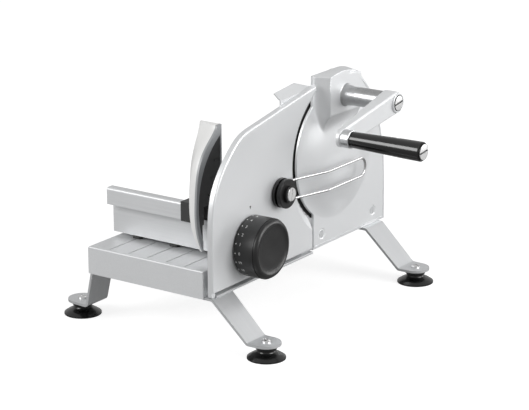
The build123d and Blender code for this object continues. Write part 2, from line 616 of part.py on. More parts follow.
arm_plane = Plane(
    origin=(ARM_X, CRANK_Y, CRANK_Z),
    x_dir=(0, -cos(radians(ARM_DROP)), -sin(radians(ARM_DROP))),
    z_dir=(1, 0, 0),
)
with BuildPart() as crank_arm:
    with BuildSketch(arm_plane):
        Circle(ARM_HUB_RADIUS)
        with Locations((ARM_REACH, 0)):
            Circle(ARM_TIP_RADIUS)
        make_hull()
    extrude(amount=ARM_HUB_THICKNESS + 2)
    # outer face slopes from the hub down to the handle
    with BuildSketch(Plane(origin=arm_plane.origin, x_dir=arm_plane.x_dir, z_dir=arm_plane.y_dir)):
        with BuildLine():
            slope = (ARM_HUB_THICKNESS - 1.6 - ARM_TIP_THICKNESS) / ARM_REACH
            hub_end = -(ARM_HUB_THICKNESS - 1.6 + 20 * slope)
            tip_end = -(ARM_TIP_THICKNESS - 20 * slope)
            Polyline((-20, 1), (-20, hub_end), (ARM_REACH + 20, tip_end), (ARM_REACH + 20, 1), (-20, 1))
        make_face()
    extrude(amount=40, both=True, mode=Mode.INTERSECT)
    chamfer(crank_arm.faces().sort_by(Axis.X)[-1].edges(), length=1.9)
    fillet(crank_arm.faces().sort_by(Axis.X)[0].edges(), radius=1.0)
    with BuildSketch(arm_plane):
        Circle(ARM_HUB_RADIUS - 1.7)
    extrude(amount=ARM_HUB_THICKNESS)
    chamfer(crank_arm.faces().sort_by(Axis.X)[-1].edges(), length=0.5)
    with BuildSketch(Plane(arm_plane.origin, x_dir=arm_plane.x_dir, z_dir=arm_plane.z_dir)):
        with Locations((ARM_REACH, 0)):
            Circle(ARM_TIP_RADIUS - 0.5)
    extrude(amount=ARM_TIP_THICKNESS)
    with BuildSketch(arm_plane.offset(ARM_TIP_THICKNESS)):
        with Locations((ARM_REACH, 0)):
            Circle(FERRULE_RADIUS + 0.3)
    extrude(amount=10.0, mode=Mode.SUBTRACT)
    with BuildSketch(arm_plane):
        Circle(SHAFT_RADIUS + SEAT)
        with Locations((ARM_REACH, 0)):
            Circle(SPINDLE_RADIUS + SEAT)
    extrude(amount=14.0, mode=Mode.SUBTRACT)
    with BuildSketch(arm_plane):
        Circle(3.0 + SEAT)
    extrude(amount=ARM_HUB_THICKNESS + 2, mode=Mode.SUBTRACT)
    with BuildSketch(arm_plane.offset(ARM_HUB_THICKNESS)):
        Circle(CAP_RADIUS + 0.2)
    extrude(amount=-2.0, mode=Mode.SUBTRACT)
save(crank_arm, "crank_arm")

with BuildPart() as crank_cap:
    with BuildSketch(arm_plane.offset(ARM_HUB_THICKNESS - 2.0)):
        Circle(CAP_RADIUS)
    extrude(amount=2.5)
    chamfer(crank_cap.faces().sort_by(Axis.X)[-1].edges(), length=0.6)
    with BuildSketch(arm_plane.offset(ARM_HUB_THICKNESS - 1.0)):
        Rectangle(2.0, 20.0)
    extrude(amount=3.0, mode=Mode.SUBTRACT)
    with BuildSketch(arm_plane.offset(ARM_HUB_THICKNESS - 1.9)):
        Circle(3.0)
    extrude(amount=-10.0)
save(crank_cap, "crank_cap")

with BuildPart() as grip_spindle:
    with BuildSketch(Plane.YZ.offset(ARM_X + 0.5)):
        with Locations((GRIP_Y, GRIP_Z)):
            Circle(SPINDLE_RADIUS)
    extrude(amount=GRIP_END - 1.6 - ARM_X - 0.5)
    with BuildSketch(Plane.YZ.offset(GRIP_END)):
        with Locations((GRIP_Y, GRIP_Z)):
            Circle(2.2 + SEAT)
    extrude(amount=-14.0, mode=Mode.SUBTRACT)
save(grip_spindle, "grip_spindle")

with BuildPart() as grip_ferrule:
    with BuildSketch(Plane.YZ.offset(FERRULE_X)):
        with Locations((GRIP_Y, GRIP_Z)):
            Circle(FERRULE_RADIUS)
            Circle(SPINDLE_RADIUS + SEAT, mode=Mode.SUBTRACT)
    extrude(amount=FERRULE_LENGTH)
    fillet(grip_ferrule.faces().sort_by(Axis.X)[-1].edges().sort_by(Edge.length)[-1], radius=1.2)
save(grip_ferrule, "grip_ferrule")

with BuildPart() as grip:
    with BuildSketch(lathe_plane(GRIP_Y, GRIP_Z)):
        with BuildLine():
            bore = SPINDLE_RADIUS + RUNNING
            Polyline((GRIP_END - 1.5, bore), (GRIP_X, bore), (GRIP_X, GRIP_ROOT_RADIUS - 0.8),
                     (GRIP_X + 0.8, GRIP_ROOT_RADIUS))
            Spline((GRIP_X + 0.8, GRIP_ROOT_RADIUS), (GRIP_X + 45.0, GRIP_END_RADIUS - 0.8),
                   (GRIP_END - 1.2, GRIP_END_RADIUS), tangents=[(1, 0.03), (1, 0)])
            Polyline((GRIP_END - 1.2, GRIP_END_RADIUS), (GRIP_END, GRIP_END_RADIUS - 1.0),
                     (GRIP_END, 10.0), (GRIP_END - 1.5, 10.0), (GRIP_END - 1.5, bore))
        make_face()
    revolve(axis=x_axis(GRIP_Y, GRIP_Z))
save(grip, "grip")

with BuildPart() as grip_cap:
    with BuildSketch(Plane.YZ.offset(GRIP_END - 1.2)):
        with Locations((GRIP_Y, GRIP_Z)):
            Circle(9.7)
    extrude(amount=2.8)
    chamfer(grip_cap.faces().sort_by(Axis.X)[-1].edges(), length=0.8)
    with BuildSketch(Plane.YZ.offset(GRIP_END + 0.4)):
        with Locations((GRIP_Y, GRIP_Z)):
            Rectangle(2.0, 21.0, rotation=-55)
    extrude(amount=3.0, mode=Mode.SUBTRACT)
    with BuildSketch(Plane.YZ.offset(GRIP_END - 1.2)):
        with Locations((GRIP_Y, GRIP_Z)):
            Circle(2.2)
    extrude(amount=-10.0)
save(grip_cap, "grip_cap")

# ---------------------------------------------------------------- stop plate
with BuildPart() as stop_rail:
    with BuildSketch(Plane.XY.offset(STRIP_TOP)):
        with Locations(((TABLE_RIGHT + STOP_FACE + 0.5) / 2, (STOP_FRONT_Y + STOP_TOE_WIDTH + STOP_REAR_Y) / 2)):
            Rectangle(STOP_FACE + 0.5 - TABLE_RIGHT, STOP_REAR_Y - STOP_FRONT_Y - STOP_TOE_WIDTH - 1.0)
    extrude(amount=RAIL_THICKNESS)
    chamfer(stop_rail.faces().sort_by(Axis.Z)[-1].edges().sort_by(Axis.X)[-1], length=0.6)
save(stop_rail, "stop_rail")

with BuildPart() as guide_bushes:
    for rod_y in ROD_YS:
        with BuildSketch(Plane.YZ.offset(TABLE_RIGHT - 17.0)):
            with Locations((rod_y, ROD_Z)):
                Circle(ROD_RADIUS + 2.0)
        extrude(amount=17.0)
        with BuildSketch(Plane.YZ.offset(TABLE_RIGHT - TABLE_SHEET - 2.0)):
            with Locations((rod_y, ROD_Z)):
                Circle(ROD_RADIUS + 5.0)
        extrude(amount=2.0)
        with BuildSketch(Plane.YZ.offset(TABLE_RIGHT - 17.0)):
            with Locations((rod_y, ROD_Z)):
                Circle(ROD_RADIUS + RUNNING)
        extrude(amount=17.0, mode=Mode.SUBTRACT)
save(guide_bushes, "guide_bushes")

FOLLOWER_TIP = KNOB_X + 15.5
with BuildPart() as follower_pin:
    with BuildSketch(Plane.YZ.offset(TABLE_RIGHT - TABLE_SHEET - 6.0)):
        with Locations((KNOB_Y, KNOB_Z - FOLLOWER_OFFSET)):
            Circle(FOLLOWER_RADIUS)
    extrude(amount=FOLLOWER_TIP - TABLE_RIGHT + TABLE_SHEET + 6.0)
    chamfer(follower_pin.faces().sort_by(Axis.X)[-1].edges(), length=0.6)
    with BuildSketch(Plane.YZ.offset(TABLE_RIGHT - TABLE_SHEET - 3.0)):
        with Locations((KNOB_Y, KNOB_Z - FOLLOWER_OFFSET)):
            RegularPolygon(6.5, 6)
    extrude(amount=3.0)
save(follower_pin, "follower_pin")


def stop_outline(inset=0.0):
    """Outline of the stop plate before the blade's mouth is cut, inset by some mm."""
    front = STOP_FRONT_Y + inset
    low = STOP_BOTTOM + inset
    knee = (-107.2 + 0.173 * inset, 241.6 - 0.985 * inset)
    corner = (STOP_CORNER_Y - inset, STOP_TOP_REAR - 1.19 * inset)
    Line((front, low), (front, 118.0))
    Spline((front, 118.0), (-170.2 + 0.927 * inset, 191.9 - 0.375 * inset),
           (-137.4 + 0.62 * inset, 228.5 - 0.785 * inset), knee, tangents=[(0, 1), (1, 0.176)])
    Polyline(knee, corner, (corner[0], BLADE_Z), (STOP_REAR_Y - inset, BLADE_Z),
             (STOP_REAR_Y - inset, low), (front, low))


with BuildPart() as stop_plate:
    with BuildSketch(Plane.YZ.offset(STOP_BACK)):
        with BuildLine():
            stop_outline()
        make_face()
    extrude(amount=STOP_THICKNESS)
    fillet(stop_plate.edges().group_by(Axis.X)[-1], radius=2.2)
    with BuildSketch(Plane.YZ.offset(STOP_BACK)):
        with BuildLine():
            stop_outline(3.0)
        make_face()
        with Locations((BLADE_Y, BLADE_Z)):
            Circle(STOP_MOUTH_RADIUS + STOP_BEVEL + 2.0, mode=Mode.SUBTRACT)
    extrude(amount=STOP_THICKNESS - STOP_SKIN, mode=Mode.SUBTRACT)
    # toe that hangs in front of the rail
    with BuildSketch(Plane.YZ.offset(STOP_BACK)):
        with Locations((STOP_FRONT_Y + STOP_TOE_WIDTH / 2, (STOP_TOE + STOP_BOTTOM) / 2 + 1.5)):
            RectangleRounded(STOP_TOE_WIDTH, STOP_BOTTOM - STOP_TOE + 3.0, 1.5)
    extrude(amount=STOP_THICKNESS - 1.5)
    # bosses behind the skin
    with BuildSketch(Plane.YZ.offset(STOP_BACK + 1.5)):
        with Locations(*[(y, ROD_Z) for y in ROD_YS]):
            Circle(ROD_RADIUS + 3.0)
        with Locations((KNOB_Y, KNOB_Z - FOLLOWER_OFFSET)):
            Circle(FOLLOWER_RADIUS + 3.0)
        with Locations((HOLDER_Y, HOLDER_Z)):
            Circle(9.0)
    extrude(amount=STOP_THICKNESS - STOP_SKIN - 1.5)
    with BuildSketch(Plane.YZ.offset(STOP_BACK + 3.6)):
        with Locations((KNOB_Y, KNOB_Z)):
            Circle(15.0)
    extrude(amount=STOP_THICKNESS - STOP_SKIN - 3.6)
    with BuildSketch(Plane.YZ.offset(STOP_BACK)):
        with Locations(*[(y, ROD_Z) for y in ROD_YS]):
            Circle(ROD_RADIUS + SEAT)
    extrude(amount=3.6, mode=Mode.SUBTRACT)
    with BuildSketch(Plane.YZ.offset(STOP_BACK)):
        with Locations((KNOB_Y, KNOB_Z - FOLLOWER_OFFSET)):
            Circle(FOLLOWER_RADIUS + SLIP)
        with Locations((KNOB_Y, KNOB_Z)):
            Circle(9.0 + RUNNING)
        with Locations((HOLDER_Y, HOLDER_Z)):
            Circle(4.0 + SEAT)
    extrude(amount=STOP_THICKNESS, mode=Mode.SUBTRACT)
    # mouth around the blade, bevelled towards the slice side
    with BuildSketch(lathe_plane(BLADE_Y, BLADE_Z)):
        with BuildLine():
            bevel = STOP_BEVEL / STOP_THICKNESS
            Polyline((STOP_BACK - 1, 0), (STOP_BACK - 1, STOP_MOUTH_RADIUS - bevel),
                     (STOP_FACE + 1, STOP_MOUTH_RADIUS + STOP_BEVEL + bevel), (STOP_FACE + 1, 0),
                     (STOP_BACK - 1, 0))
        make_face()
    revolve(axis=x_axis(BLADE_Y, BLADE_Z), mode=Mode.SUBTRACT)
save(stop_plate, "stop_plate")

with BuildPart() as stop_liner:
    with BuildSketch(Plane.YZ.offset(STOP_BACK)):
        with BuildLine():
            stop_outline(3.2)
        make_face()
        with Locations((BLADE_Y, BLADE_Z)):
            Circle(STOP_MOUTH_RADIUS + STOP_BEVEL + 2.2, mode=Mode.SUBTRACT)
        with Locations(*[(y, ROD_Z) for y in ROD_YS]):
            Circle(ROD_RADIUS + SEAT, mode=Mode.SUBTRACT)
        with Locations((KNOB_Y, KNOB_Z - FOLLOWER_OFFSET)):
            Circle(FOLLOWER_RADIUS + SLIP, mode=Mode.SUBTRACT)
    extrude(amount=1.2)
save(stop_liner, "stop_liner")

# folded lip along the plate's top edge
with BuildPart() as top_lip:
    with BuildSketch(Plane.YZ.offset(STOP_BACK - 1.5)):
        Polygon((-39.5, 249.5), (24.0, 258.5), (24.0, 262.0), (-39.5, 258.3), align=None)
    extrude(amount=1.5)
    fold = Plane(origin=(STOP_BACK, -39.5, 258.3), x_dir=(0, 63.5, 3.7), z_dir=(7.0, -0.5, 9.2))
    with BuildSketch(fold):
        Polygon((0, 0), (63.6, 0), (62.6, 2.0), (44.0, 14.4), (1.5, 12.6), align=None)
    extrude(amount=-1.5)
save(top_lip, "top_lip")

with BuildPart() as guide_rods:
    for rod_y in ROD_YS:
        with BuildSketch(Plane.YZ.offset(STOP_BACK + 3.5)):
            with Locations((rod_y, ROD_Z)):
                Circle(ROD_RADIUS)
        extrude(amount=-ROD_LENGTH)
save(guide_rods, "guide_rods")

with BuildPart() as thickness_knob:
    with BuildSketch(lathe_plane(KNOB_Y, KNOB_Z)):
        with BuildLine():
            knob_end = KNOB_X + KNOB_LENGTH
            cavity = KNOB_X + 23.0
            Polyline((knob_end - KNOB_DISH, 0), (STOP_BACK + 1.6, 0), (STOP_BACK + 1.6, 9.0),
                     (STOP_BACK + 2.28, 9.0), (STOP_BACK + 2.28, 8.0), (STOP_BACK + 3.32, 8.0),
                     (STOP_BACK + 3.32, 9.0), (KNOB_X, 9.0), (KNOB_X, 20.3), (cavity, 20.3),
                     (cavity, 29.7), (KNOB_X, 29.7), (KNOB_X, KNOB_RADIUS - 1.0),
                     (KNOB_X + 1.0, KNOB_RADIUS), (knob_end - KNOB_RIM, KNOB_RADIUS),
                     (knob_end - KNOB_RIM, KNOB_RADIUS - 0.8))
            ThreePointArc((knob_end - KNOB_RIM, KNOB_RADIUS - 0.8),
                          (knob_end - 1.46, KNOB_RADIUS - 2.03), (knob_end, KNOB_RADIUS - KNOB_RIM))
            Line((knob_end, KNOB_RADIUS - KNOB_RIM), (knob_end, KNOB_RADIUS - KNOB_RIM - 1.0))
            Spline((knob_end, KNOB_RADIUS - KNOB_RIM - 1.0), (knob_end - KNOB_DISH + 0.8, 18.0),
                   (knob_end - KNOB_DISH, 0), tangents=[(-0.8, -1), (0, -1)])
        make_face()
    revolve(axis=x_axis(KNOB_Y, KNOB_Z))
save(thickness_knob, "thickness_knob")

# stepped cam inside the knob: one step of 1 mm every 18 degrees of the dial
with BuildPart() as step_cam:
    for dial in range(20):
        floor_x = FOLLOWER_TIP + 1.3 - (dial - REST_CUT)
        middle = -90 - 18 * (dial - REST_CUT)
        with BuildSketch(Plane.YZ.offset(floor_x)):
            with Locations((KNOB_Y, KNOB_Z)):
                Circle(29.5)
                Circle(20.5, mode=Mode.SUBTRACT)
            with Locations(Location((KNOB_Y, KNOB_Z), middle)):
                Polygon((0, 0), (40, -40 * tan(radians(9))), (40, 40 * tan(radians(9))),
                        align=None, mode=Mode.INTERSECT)
        extrude(amount=cavity - 0.2 - floor_x)
save(step_cam, "step_cam")

with BuildPart() as knob_clip:
    with BuildSketch(Plane.YZ.offset(STOP_BACK + 2.3)):
        with Locations((KNOB_Y, KNOB_Z)):
            Circle(12.5)
            Circle(8.0 + SEAT, mode=Mode.SUBTRACT)
            with Locations((0, -10)):
                Rectangle(8.0, 14.0, mode=Mode.SUBTRACT)
    extrude(amount=1.0)
save(knob_clip, "knob_clip")

# ---------------------------------------------------------------- slice holder
WIRE_X = STOP_FACE + 5.7
with BuildPart() as holder_hub:
    with BuildSketch(lathe_plane(HOLDER_Y, HOLDER_Z)):
        with BuildLine():
            groove = WIRE_RADIUS + SEAT
            bore = 4.0 + RUNNING
            Polyline((STOP_FACE + SLIP, bore), (STOP_FACE + SLIP, HOLDER_RADIUS - 0.6),
                     (STOP_FACE + SLIP + 0.6, HOLDER_RADIUS), (WIRE_X - groove, HOLDER_RADIUS),
                     (WIRE_X - groove, WIRE_GAP / 2 - WIRE_RADIUS - 0.2),
                     (WIRE_X + groove, WIRE_GAP / 2 - WIRE_RADIUS - 0.2),
                     (WIRE_X + groove, HOLDER_RADIUS), (WIRE_X + 5.6, HOLDER_RADIUS),
                     (WIRE_X + 6.3, HOLDER_RADIUS - 0.7), (WIRE_X + 6.3, HOLDER_STUD_RADIUS),
                     (WIRE_X + 9.7, HOLDER_STUD_RADIUS), (WIRE_X + 10.3, HOLDER_STUD_RADIUS - 0.6),
                     (WIRE_X + 10.3, 8.3), (WIRE_X + 8.8, 8.3), (WIRE_X + 8.8, bore),
                     (STOP_FACE + SLIP, bore))
        make_face()
    revolve(axis=x_axis(HOLDER_Y, HOLDER_Z))
save(holder_hub, "holder_hub")

with BuildPart() as holder_screw:
    with BuildSketch(lathe_plane(HOLDER_Y, HOLDER_Z)):
        with BuildLine():
            Polyline((STOP_BACK + 1.8, 0), (STOP_BACK + 1.8, 4.0), (WIRE_X + 8.85, 4.0),
                     (WIRE_X + 8.85, 8.0), (WIRE_X + 10.7, 8.0), (WIRE_X + 11.3, 7.4),
                     (WIRE_X + 11.3, 0), (STOP_BACK + 1.8, 0))
        make_face()
    revolve(axis=x_axis(HOLDER_Y, HOLDER_Z))
    with BuildSketch(Plane.YZ.offset(WIRE_X + 10.1)):
        with Locations((HOLDER_Y, HOLDER_Z)):
            Rectangle(2.0, 18.0, rotation=-8)
    extrude(amount=2.0, mode=Mode.SUBTRACT)
save(holder_screw, "holder_screw")

with BuildPart() as slice_loop:
    with BuildLine() as wire_path:
        wire_out = WIRE_X + WIRE_JOGGLE
        start_y = HOLDER_Y + WIRE_JOGGLE_START
        straight_y = start_y + WIRE_JOGGLE_LENGTH
        bow_y = HOLDER_Y + WIRE_REACH - WIRE_GAP / 2
        high = HOLDER_Z + WIRE_GAP / 2
        low = HOLDER_Z - WIRE_GAP / 2
        FilletPolyline((WIRE_X, HOLDER_Y - 10.0, high), (WIRE_X, start_y, high),
                       (wire_out, straight_y, high), (wire_out, bow_y, high), radius=WIRE_BEND)
        ThreePointArc((wire_out, bow_y, high), (wire_out, HOLDER_Y + WIRE_REACH, HOLDER_Z),
                      (wire_out, bow_y, low))
        FilletPolyline((wire_out, bow_y, low), (wire_out, straight_y, low), (WIRE_X, start_y, low),
                       (WIRE_X, HOLDER_Y - 10.0, low), radius=WIRE_BEND)
    wire = wire_path.wires()[0]
    with BuildSketch(Plane(origin=wire @ 0, z_dir=wire % 0)):
        Circle(WIRE_RADIUS)
    sweep(path=wire)
save(slice_loop, "slice_loop")

# ---------------------------------------------------------------- carriage
with BuildPart() as carriage:
    with BuildSketch(Plane.XY.offset(CARRIAGE_FLOOR)):
        with Locations(((CARRIAGE_LEFT + CARRIAGE_RIGHT) / 2, CARRIAGE_FRONT + CARRIAGE_DEPTH / 2)):
            RectangleRounded(CARRIAGE_RIGHT - CARRIAGE_LEFT, CARRIAGE_DEPTH, 3.0)
    extrude(amount=CARRIAGE_SHEET)
    with BuildSketch(Plane.XZ.offset(-FENCE_BACK)):
        with Locations(((CARRIAGE_LEFT + CARRIAGE_RIGHT) / 2, (CARRIAGE_FLOOR + FENCE_TOP) / 2)):
            Rectangle(CARRIAGE_RIGHT - CARRIAGE_LEFT, FENCE_TOP - CARRIAGE_FLOOR)
    extrude(amount=CARRIAGE_SHEET)
    with BuildSketch(Plane.YZ.offset(CARRIAGE_LEFT)):
        with BuildLine():
            half = CARRIAGE_SHEET / 2
            FilletPolyline(
                (FENCE_BACK - half, FENCE_TOP - 6.0),
                (FENCE_BACK - half, LIP_TOP - half),
                (CARRIAGE_FRONT - LIP_REACH + half, LIP_TOP - half),
                (CARRIAGE_FRONT - LIP_REACH + half, LIP_BOTTOM),
                radius=2.2,
            )
        trace(line_width=CARRIAGE_SHEET)
    extrude(amount=LIP_WIDTH)
save(carriage, "carriage")

with BuildPart() as carriage_runners:
    for i in (0, 2, 4):
        runner_x = TABLE_LEFT + GROOVE_FIRST + i * GROOVE_PITCH
        with BuildSketch(Plane.XY.offset(TABLE_TOP + SLIP)):
            with Locations((runner_x, CARRIAGE_FRONT + CARRIAGE_DEPTH / 2)):
                RectangleRounded(RUNNER_WIDTH, CARRIAGE_DEPTH - 6.0, 3.0)
        extrude(amount=CARRIAGE_FLOOR - TABLE_TOP - SLIP)
        with BuildSketch(Plane.XY.offset(TABLE_TOP - GROOVE_DEPTH + SLIP)):
            with Locations((runner_x, CARRIAGE_FRONT + 53.0)):
                Rectangle(GROOVE_WIDTH - 2 * SLIP, 100.0)
        extrude(amount=GROOVE_DEPTH)
save(carriage_runners, "carriage_runners")

# ---------------------------------------------------------------- pusher
CHANNEL_FRONT = CARRIAGE_FRONT - LIP_REACH - 1.7
CHANNEL_REAR = FENCE_BACK + SLIP
CHANNEL_ROOF = LIP_TOP + SLIP
SHOE_WALL = 2.4
SHOE_LENGTH = 31.5           # from the ribbed face to the lip's end at rest


def pusher_section(z, front, depth, inset):
    """One level of the pusher: flat face on +X, bulging back."""
    face = PUSHER_X - inset * 0.2
    side = PUSHER_REAR - inset
    edge = front + inset
    back = PUSHER_X - depth + inset
    with BuildSketch(Plane.XY.offset(z)) as level:
        with BuildLine():
            Polyline((back, side), (face, side), (face, edge), (face - 3.0, edge - 0.2))
            Spline((face - 3.0, edge - 0.2), (face - depth * 0.55, edge + (side - edge) * 0.22),
                   (back, side - (side - edge) * 0.25), (back, side),
                   tangents=[(-1, -0.05), (0, 1)])
        make_face()
    return level.sketch


def pusher_levels(inset):
    """The pusher's levels from its tip to its top."""
    return [
        pusher_section(PUSHER_TIP + inset, -147.5, 12.0, inset),
        pusher_section(113.0, -155.5, 19.0, inset),
        pusher_section(130.0, -160.8, 27.0, inset),
        pusher_section(155.0, -162.6, 32.0, inset),
        pusher_section(180.0, -160.5, 33.0, inset),
        pusher_section(204.0, -154.5, 32.0, inset),
        pusher_section(224.0, -139.5, 30.0, inset),
        pusher_section(PUSHER_TOP - inset, -121.5, 28.5, inset),
    ]


def pusher_opening(inset):
    """Outline of the dark face inside the pusher's rim."""
    side = PUSHER_REAR - 2.5 - inset
    Spline((side, 231.5 - 1.4 * inset), (-133.2 + 0.5 * inset, 217.4 - 0.85 * inset),
           (-147.5 + 0.9 * inset, 197.7 - 0.4 * inset), (-158.0 + inset, 157.1),
           (-146.0 + inset, 106.0 + inset))
    Polyline((-146.0 + inset, 106.0 + inset), (side, 106.0 + inset), (side, 231.5 - 1.4 * inset))


def fence_channel(wall):
    """Box around the fence and its lip, wall mm wider on every side, for cutting."""
    with BuildSketch(Plane.YZ.offset(PUSHER_X - 60.0)) as channel:
        with Locations(((CHANNEL_FRONT + CHANNEL_REAR) / 2, (CHANNEL_ROOF + wall + 80.0) / 2)):
            Rectangle(CHANNEL_REAR - CHANNEL_FRONT + 2 * wall, CHANNEL_ROOF + wall - 80.0)
    return channel.sketch


with BuildPart() as pusher_shell:
    loft(pusher_levels(0.0))
    loft(pusher_levels(2.5), mode=Mode.SUBTRACT)
    with BuildSketch(Plane.YZ.offset(PUSHER_X - 3.0)):
        with BuildLine():
            pusher_opening(0.0)
        make_face()
    extrude(amount=5.0, mode=Mode.SUBTRACT)
    extrude(fence_channel(SHOE_WALL + SEAT), amount=70.0, mode=Mode.SUBTRACT)
    with BuildSketch(Plane.XY.offset(80.0)):
        with Locations((PUSHER_X - 20.0, CHANNEL_REAR + 30.0)):
            Rectangle(80.0, 60.0)
    extrude(amount=FLOOR_TOP + SLIP - 80.0, mode=Mode.SUBTRACT)
save(pusher_shell, "pusher_shell")

with BuildPart() as pusher_face:
    with BuildSketch(Plane.YZ.offset(PUSHER_X - 2.6)):
        with BuildLine():
            pusher_opening(0.25)
        make_face()
    extrude(amount=1.8)
    for i in range(PUSHER_RIBS):
        rib_z = 166.5 + i * PUSHER_RIB_PITCH
        with BuildSketch(Plane.YZ.offset(PUSHER_X - 0.8)):
            with Locations((-138.0 + 0.0028 * (rib_z - 129.0) ** 2, rib_z)):
                RectangleRounded(9.0, 1.8, 0.8)
        extrude(amount=0.8)
    extrude(fence_channel(SHOE_WALL + SEAT), amount=70.0, mode=Mode.SUBTRACT)
save(pusher_face, "pusher_face")

with BuildPart() as pusher_shoe:
    with BuildSketch(Plane.YZ.offset(PUSHER_X - SHOE_LENGTH)):
        with Locations(((CHANNEL_FRONT + CHANNEL_REAR) / 2, (CHANNEL_ROOF + SHOE_WALL + 103.0) / 2)):
            Rectangle(CHANNEL_REAR - CHANNEL_FRONT + 2 * SHOE_WALL, CHANNEL_ROOF + SHOE_WALL - 103.0)
    extrude(amount=SHOE_LENGTH - 0.8)
    # in front of the fence only the hook around the lip stays
    with BuildSketch(Plane.YZ.offset(PUSHER_X - SHOE_LENGTH - 1.0)):
        with Locations(((CARRIAGE_FRONT + CHANNEL_FRONT) / 2 - SHOE_WALL, (LIP_BOTTOM + 80.0) / 2)):
            Rectangle(CARRIAGE_FRONT - CHANNEL_FRONT + 2 * SHOE_WALL, LIP_BOTTOM - 80.0)
    extrude(amount=60.0, mode=Mode.SUBTRACT)
    # slot for the fence, wider above for its folded lip
    with BuildSketch(Plane.YZ.offset(PUSHER_X - 45.0)):
        with Locations(((CARRIAGE_FRONT - SLIP + CHANNEL_REAR) / 2, (CHANNEL_ROOF + 80.0) / 2)):
            Rectangle(CHANNEL_REAR - CARRIAGE_FRONT + SLIP, CHANNEL_ROOF - 80.0)
        with Locations(((CHANNEL_FRONT + CHANNEL_REAR) / 2, (CHANNEL_ROOF + LIP_BOTTOM - 1.0) / 2)):
            Rectangle(CHANNEL_REAR - CHANNEL_FRONT, CHANNEL_ROOF - LIP_BOTTOM + 1.0)
    extrude(amount=60.0, mode=Mode.SUBTRACT)
save(pusher_shoe, "pusher_shoe")
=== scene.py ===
"""Looks of the hand-cranked bread slicer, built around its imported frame, in metres."""
import math

import bpy
import numpy as np
from mathutils import Matrix, Vector


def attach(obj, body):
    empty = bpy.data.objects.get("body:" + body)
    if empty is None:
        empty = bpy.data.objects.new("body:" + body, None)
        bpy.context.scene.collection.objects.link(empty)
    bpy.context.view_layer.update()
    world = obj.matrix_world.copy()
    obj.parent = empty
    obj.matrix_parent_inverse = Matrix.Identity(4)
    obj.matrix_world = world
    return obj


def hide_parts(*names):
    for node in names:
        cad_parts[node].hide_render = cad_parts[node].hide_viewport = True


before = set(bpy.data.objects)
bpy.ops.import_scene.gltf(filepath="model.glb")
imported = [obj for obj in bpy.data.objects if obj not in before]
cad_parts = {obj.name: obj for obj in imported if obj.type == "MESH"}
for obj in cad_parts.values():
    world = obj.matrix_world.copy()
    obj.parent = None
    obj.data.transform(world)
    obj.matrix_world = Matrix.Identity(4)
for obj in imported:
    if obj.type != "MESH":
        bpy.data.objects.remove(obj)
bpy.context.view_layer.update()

MM = 0.001
BLADE_AXIS = (73.3, 173.0)              # y, z of lines along X, in millimetres
HUB_AXIS = (69.6, 245.9)
GRIP_AXIS = (-29.68, 224.80)
KNOB_AXIS = (-110.5, 106.9)


# ---------------------------------------------------------------- shader maths
class Value:
    """One value in a finish's node tree. Arithmetic on it adds Math nodes."""

    def __init__(self, finish, socket):
        self.finish = finish
        self.socket = socket

    def _math(self, operation, *others):
        return self.finish.node("ShaderNodeMath", {"operation": operation}, [self, *others])

    def __add__(self, other):
        return self._math("ADD", other)

    __radd__ = __add__

    def __rsub__(self, other):
        return self.finish.node("ShaderNodeMath", {"operation": "SUBTRACT"}, [other, self])

    def __mul__(self, other):
        return self._math("MULTIPLY", other)

    __rmul__ = __mul__

    def __gt__(self, other):
        return self._math("GREATER_THAN", other)

    def sine(self):
        """Sine of the value, in radians."""
        return self._math("SINE")

    def step(self, low, high):
        """0 below low, 1 above high, smooth between."""
        settings = {"interpolation_type": "SMOOTHSTEP"}
        return self.finish.node("ShaderNodeMapRange", settings, [self, low, high, 0.0, 1.0])


class Nodes:
    """A node tree that expressions on Value add nodes to."""

    def __init__(self, tree):
        self.tree = tree

    def node(self, kind, settings, inputs, output=0):
        """Adds a node: its settings first, then values or links for its sockets."""
        made = self.tree.nodes.new(kind)
        for key, value in settings.items():
            setattr(made, key, value)
        named = inputs.items() if isinstance(inputs, dict) else enumerate(inputs)
        for key, value in named:
            self.join(value, made.inputs[key])
        return Value(self, made.outputs[output])

    def join(self, value, socket):
        """Links a value to a socket, or sets the number on the socket itself."""
        if isinstance(value, Value):
            self.tree.links.new(value.socket, socket)
        else:
            socket.default_value = value

    def seen(self, glossy):
        """1 where the camera looks, the share glossy where metal or glass shows it, else 0."""
        ways = [self.node("ShaderNodeLightPath", {}, {}, way)
                for way in ("Is Camera Ray", "Is Glossy Ray", "Is Transmission Ray")]
        return ways[0] + ways[1] * glossy + ways[2] * glossy


MIX_FACTOR, MIX_FIRST, MIX_SECOND, MIX_COLOUR = 0, 6, 7, 2      # sockets of a colour Mix node


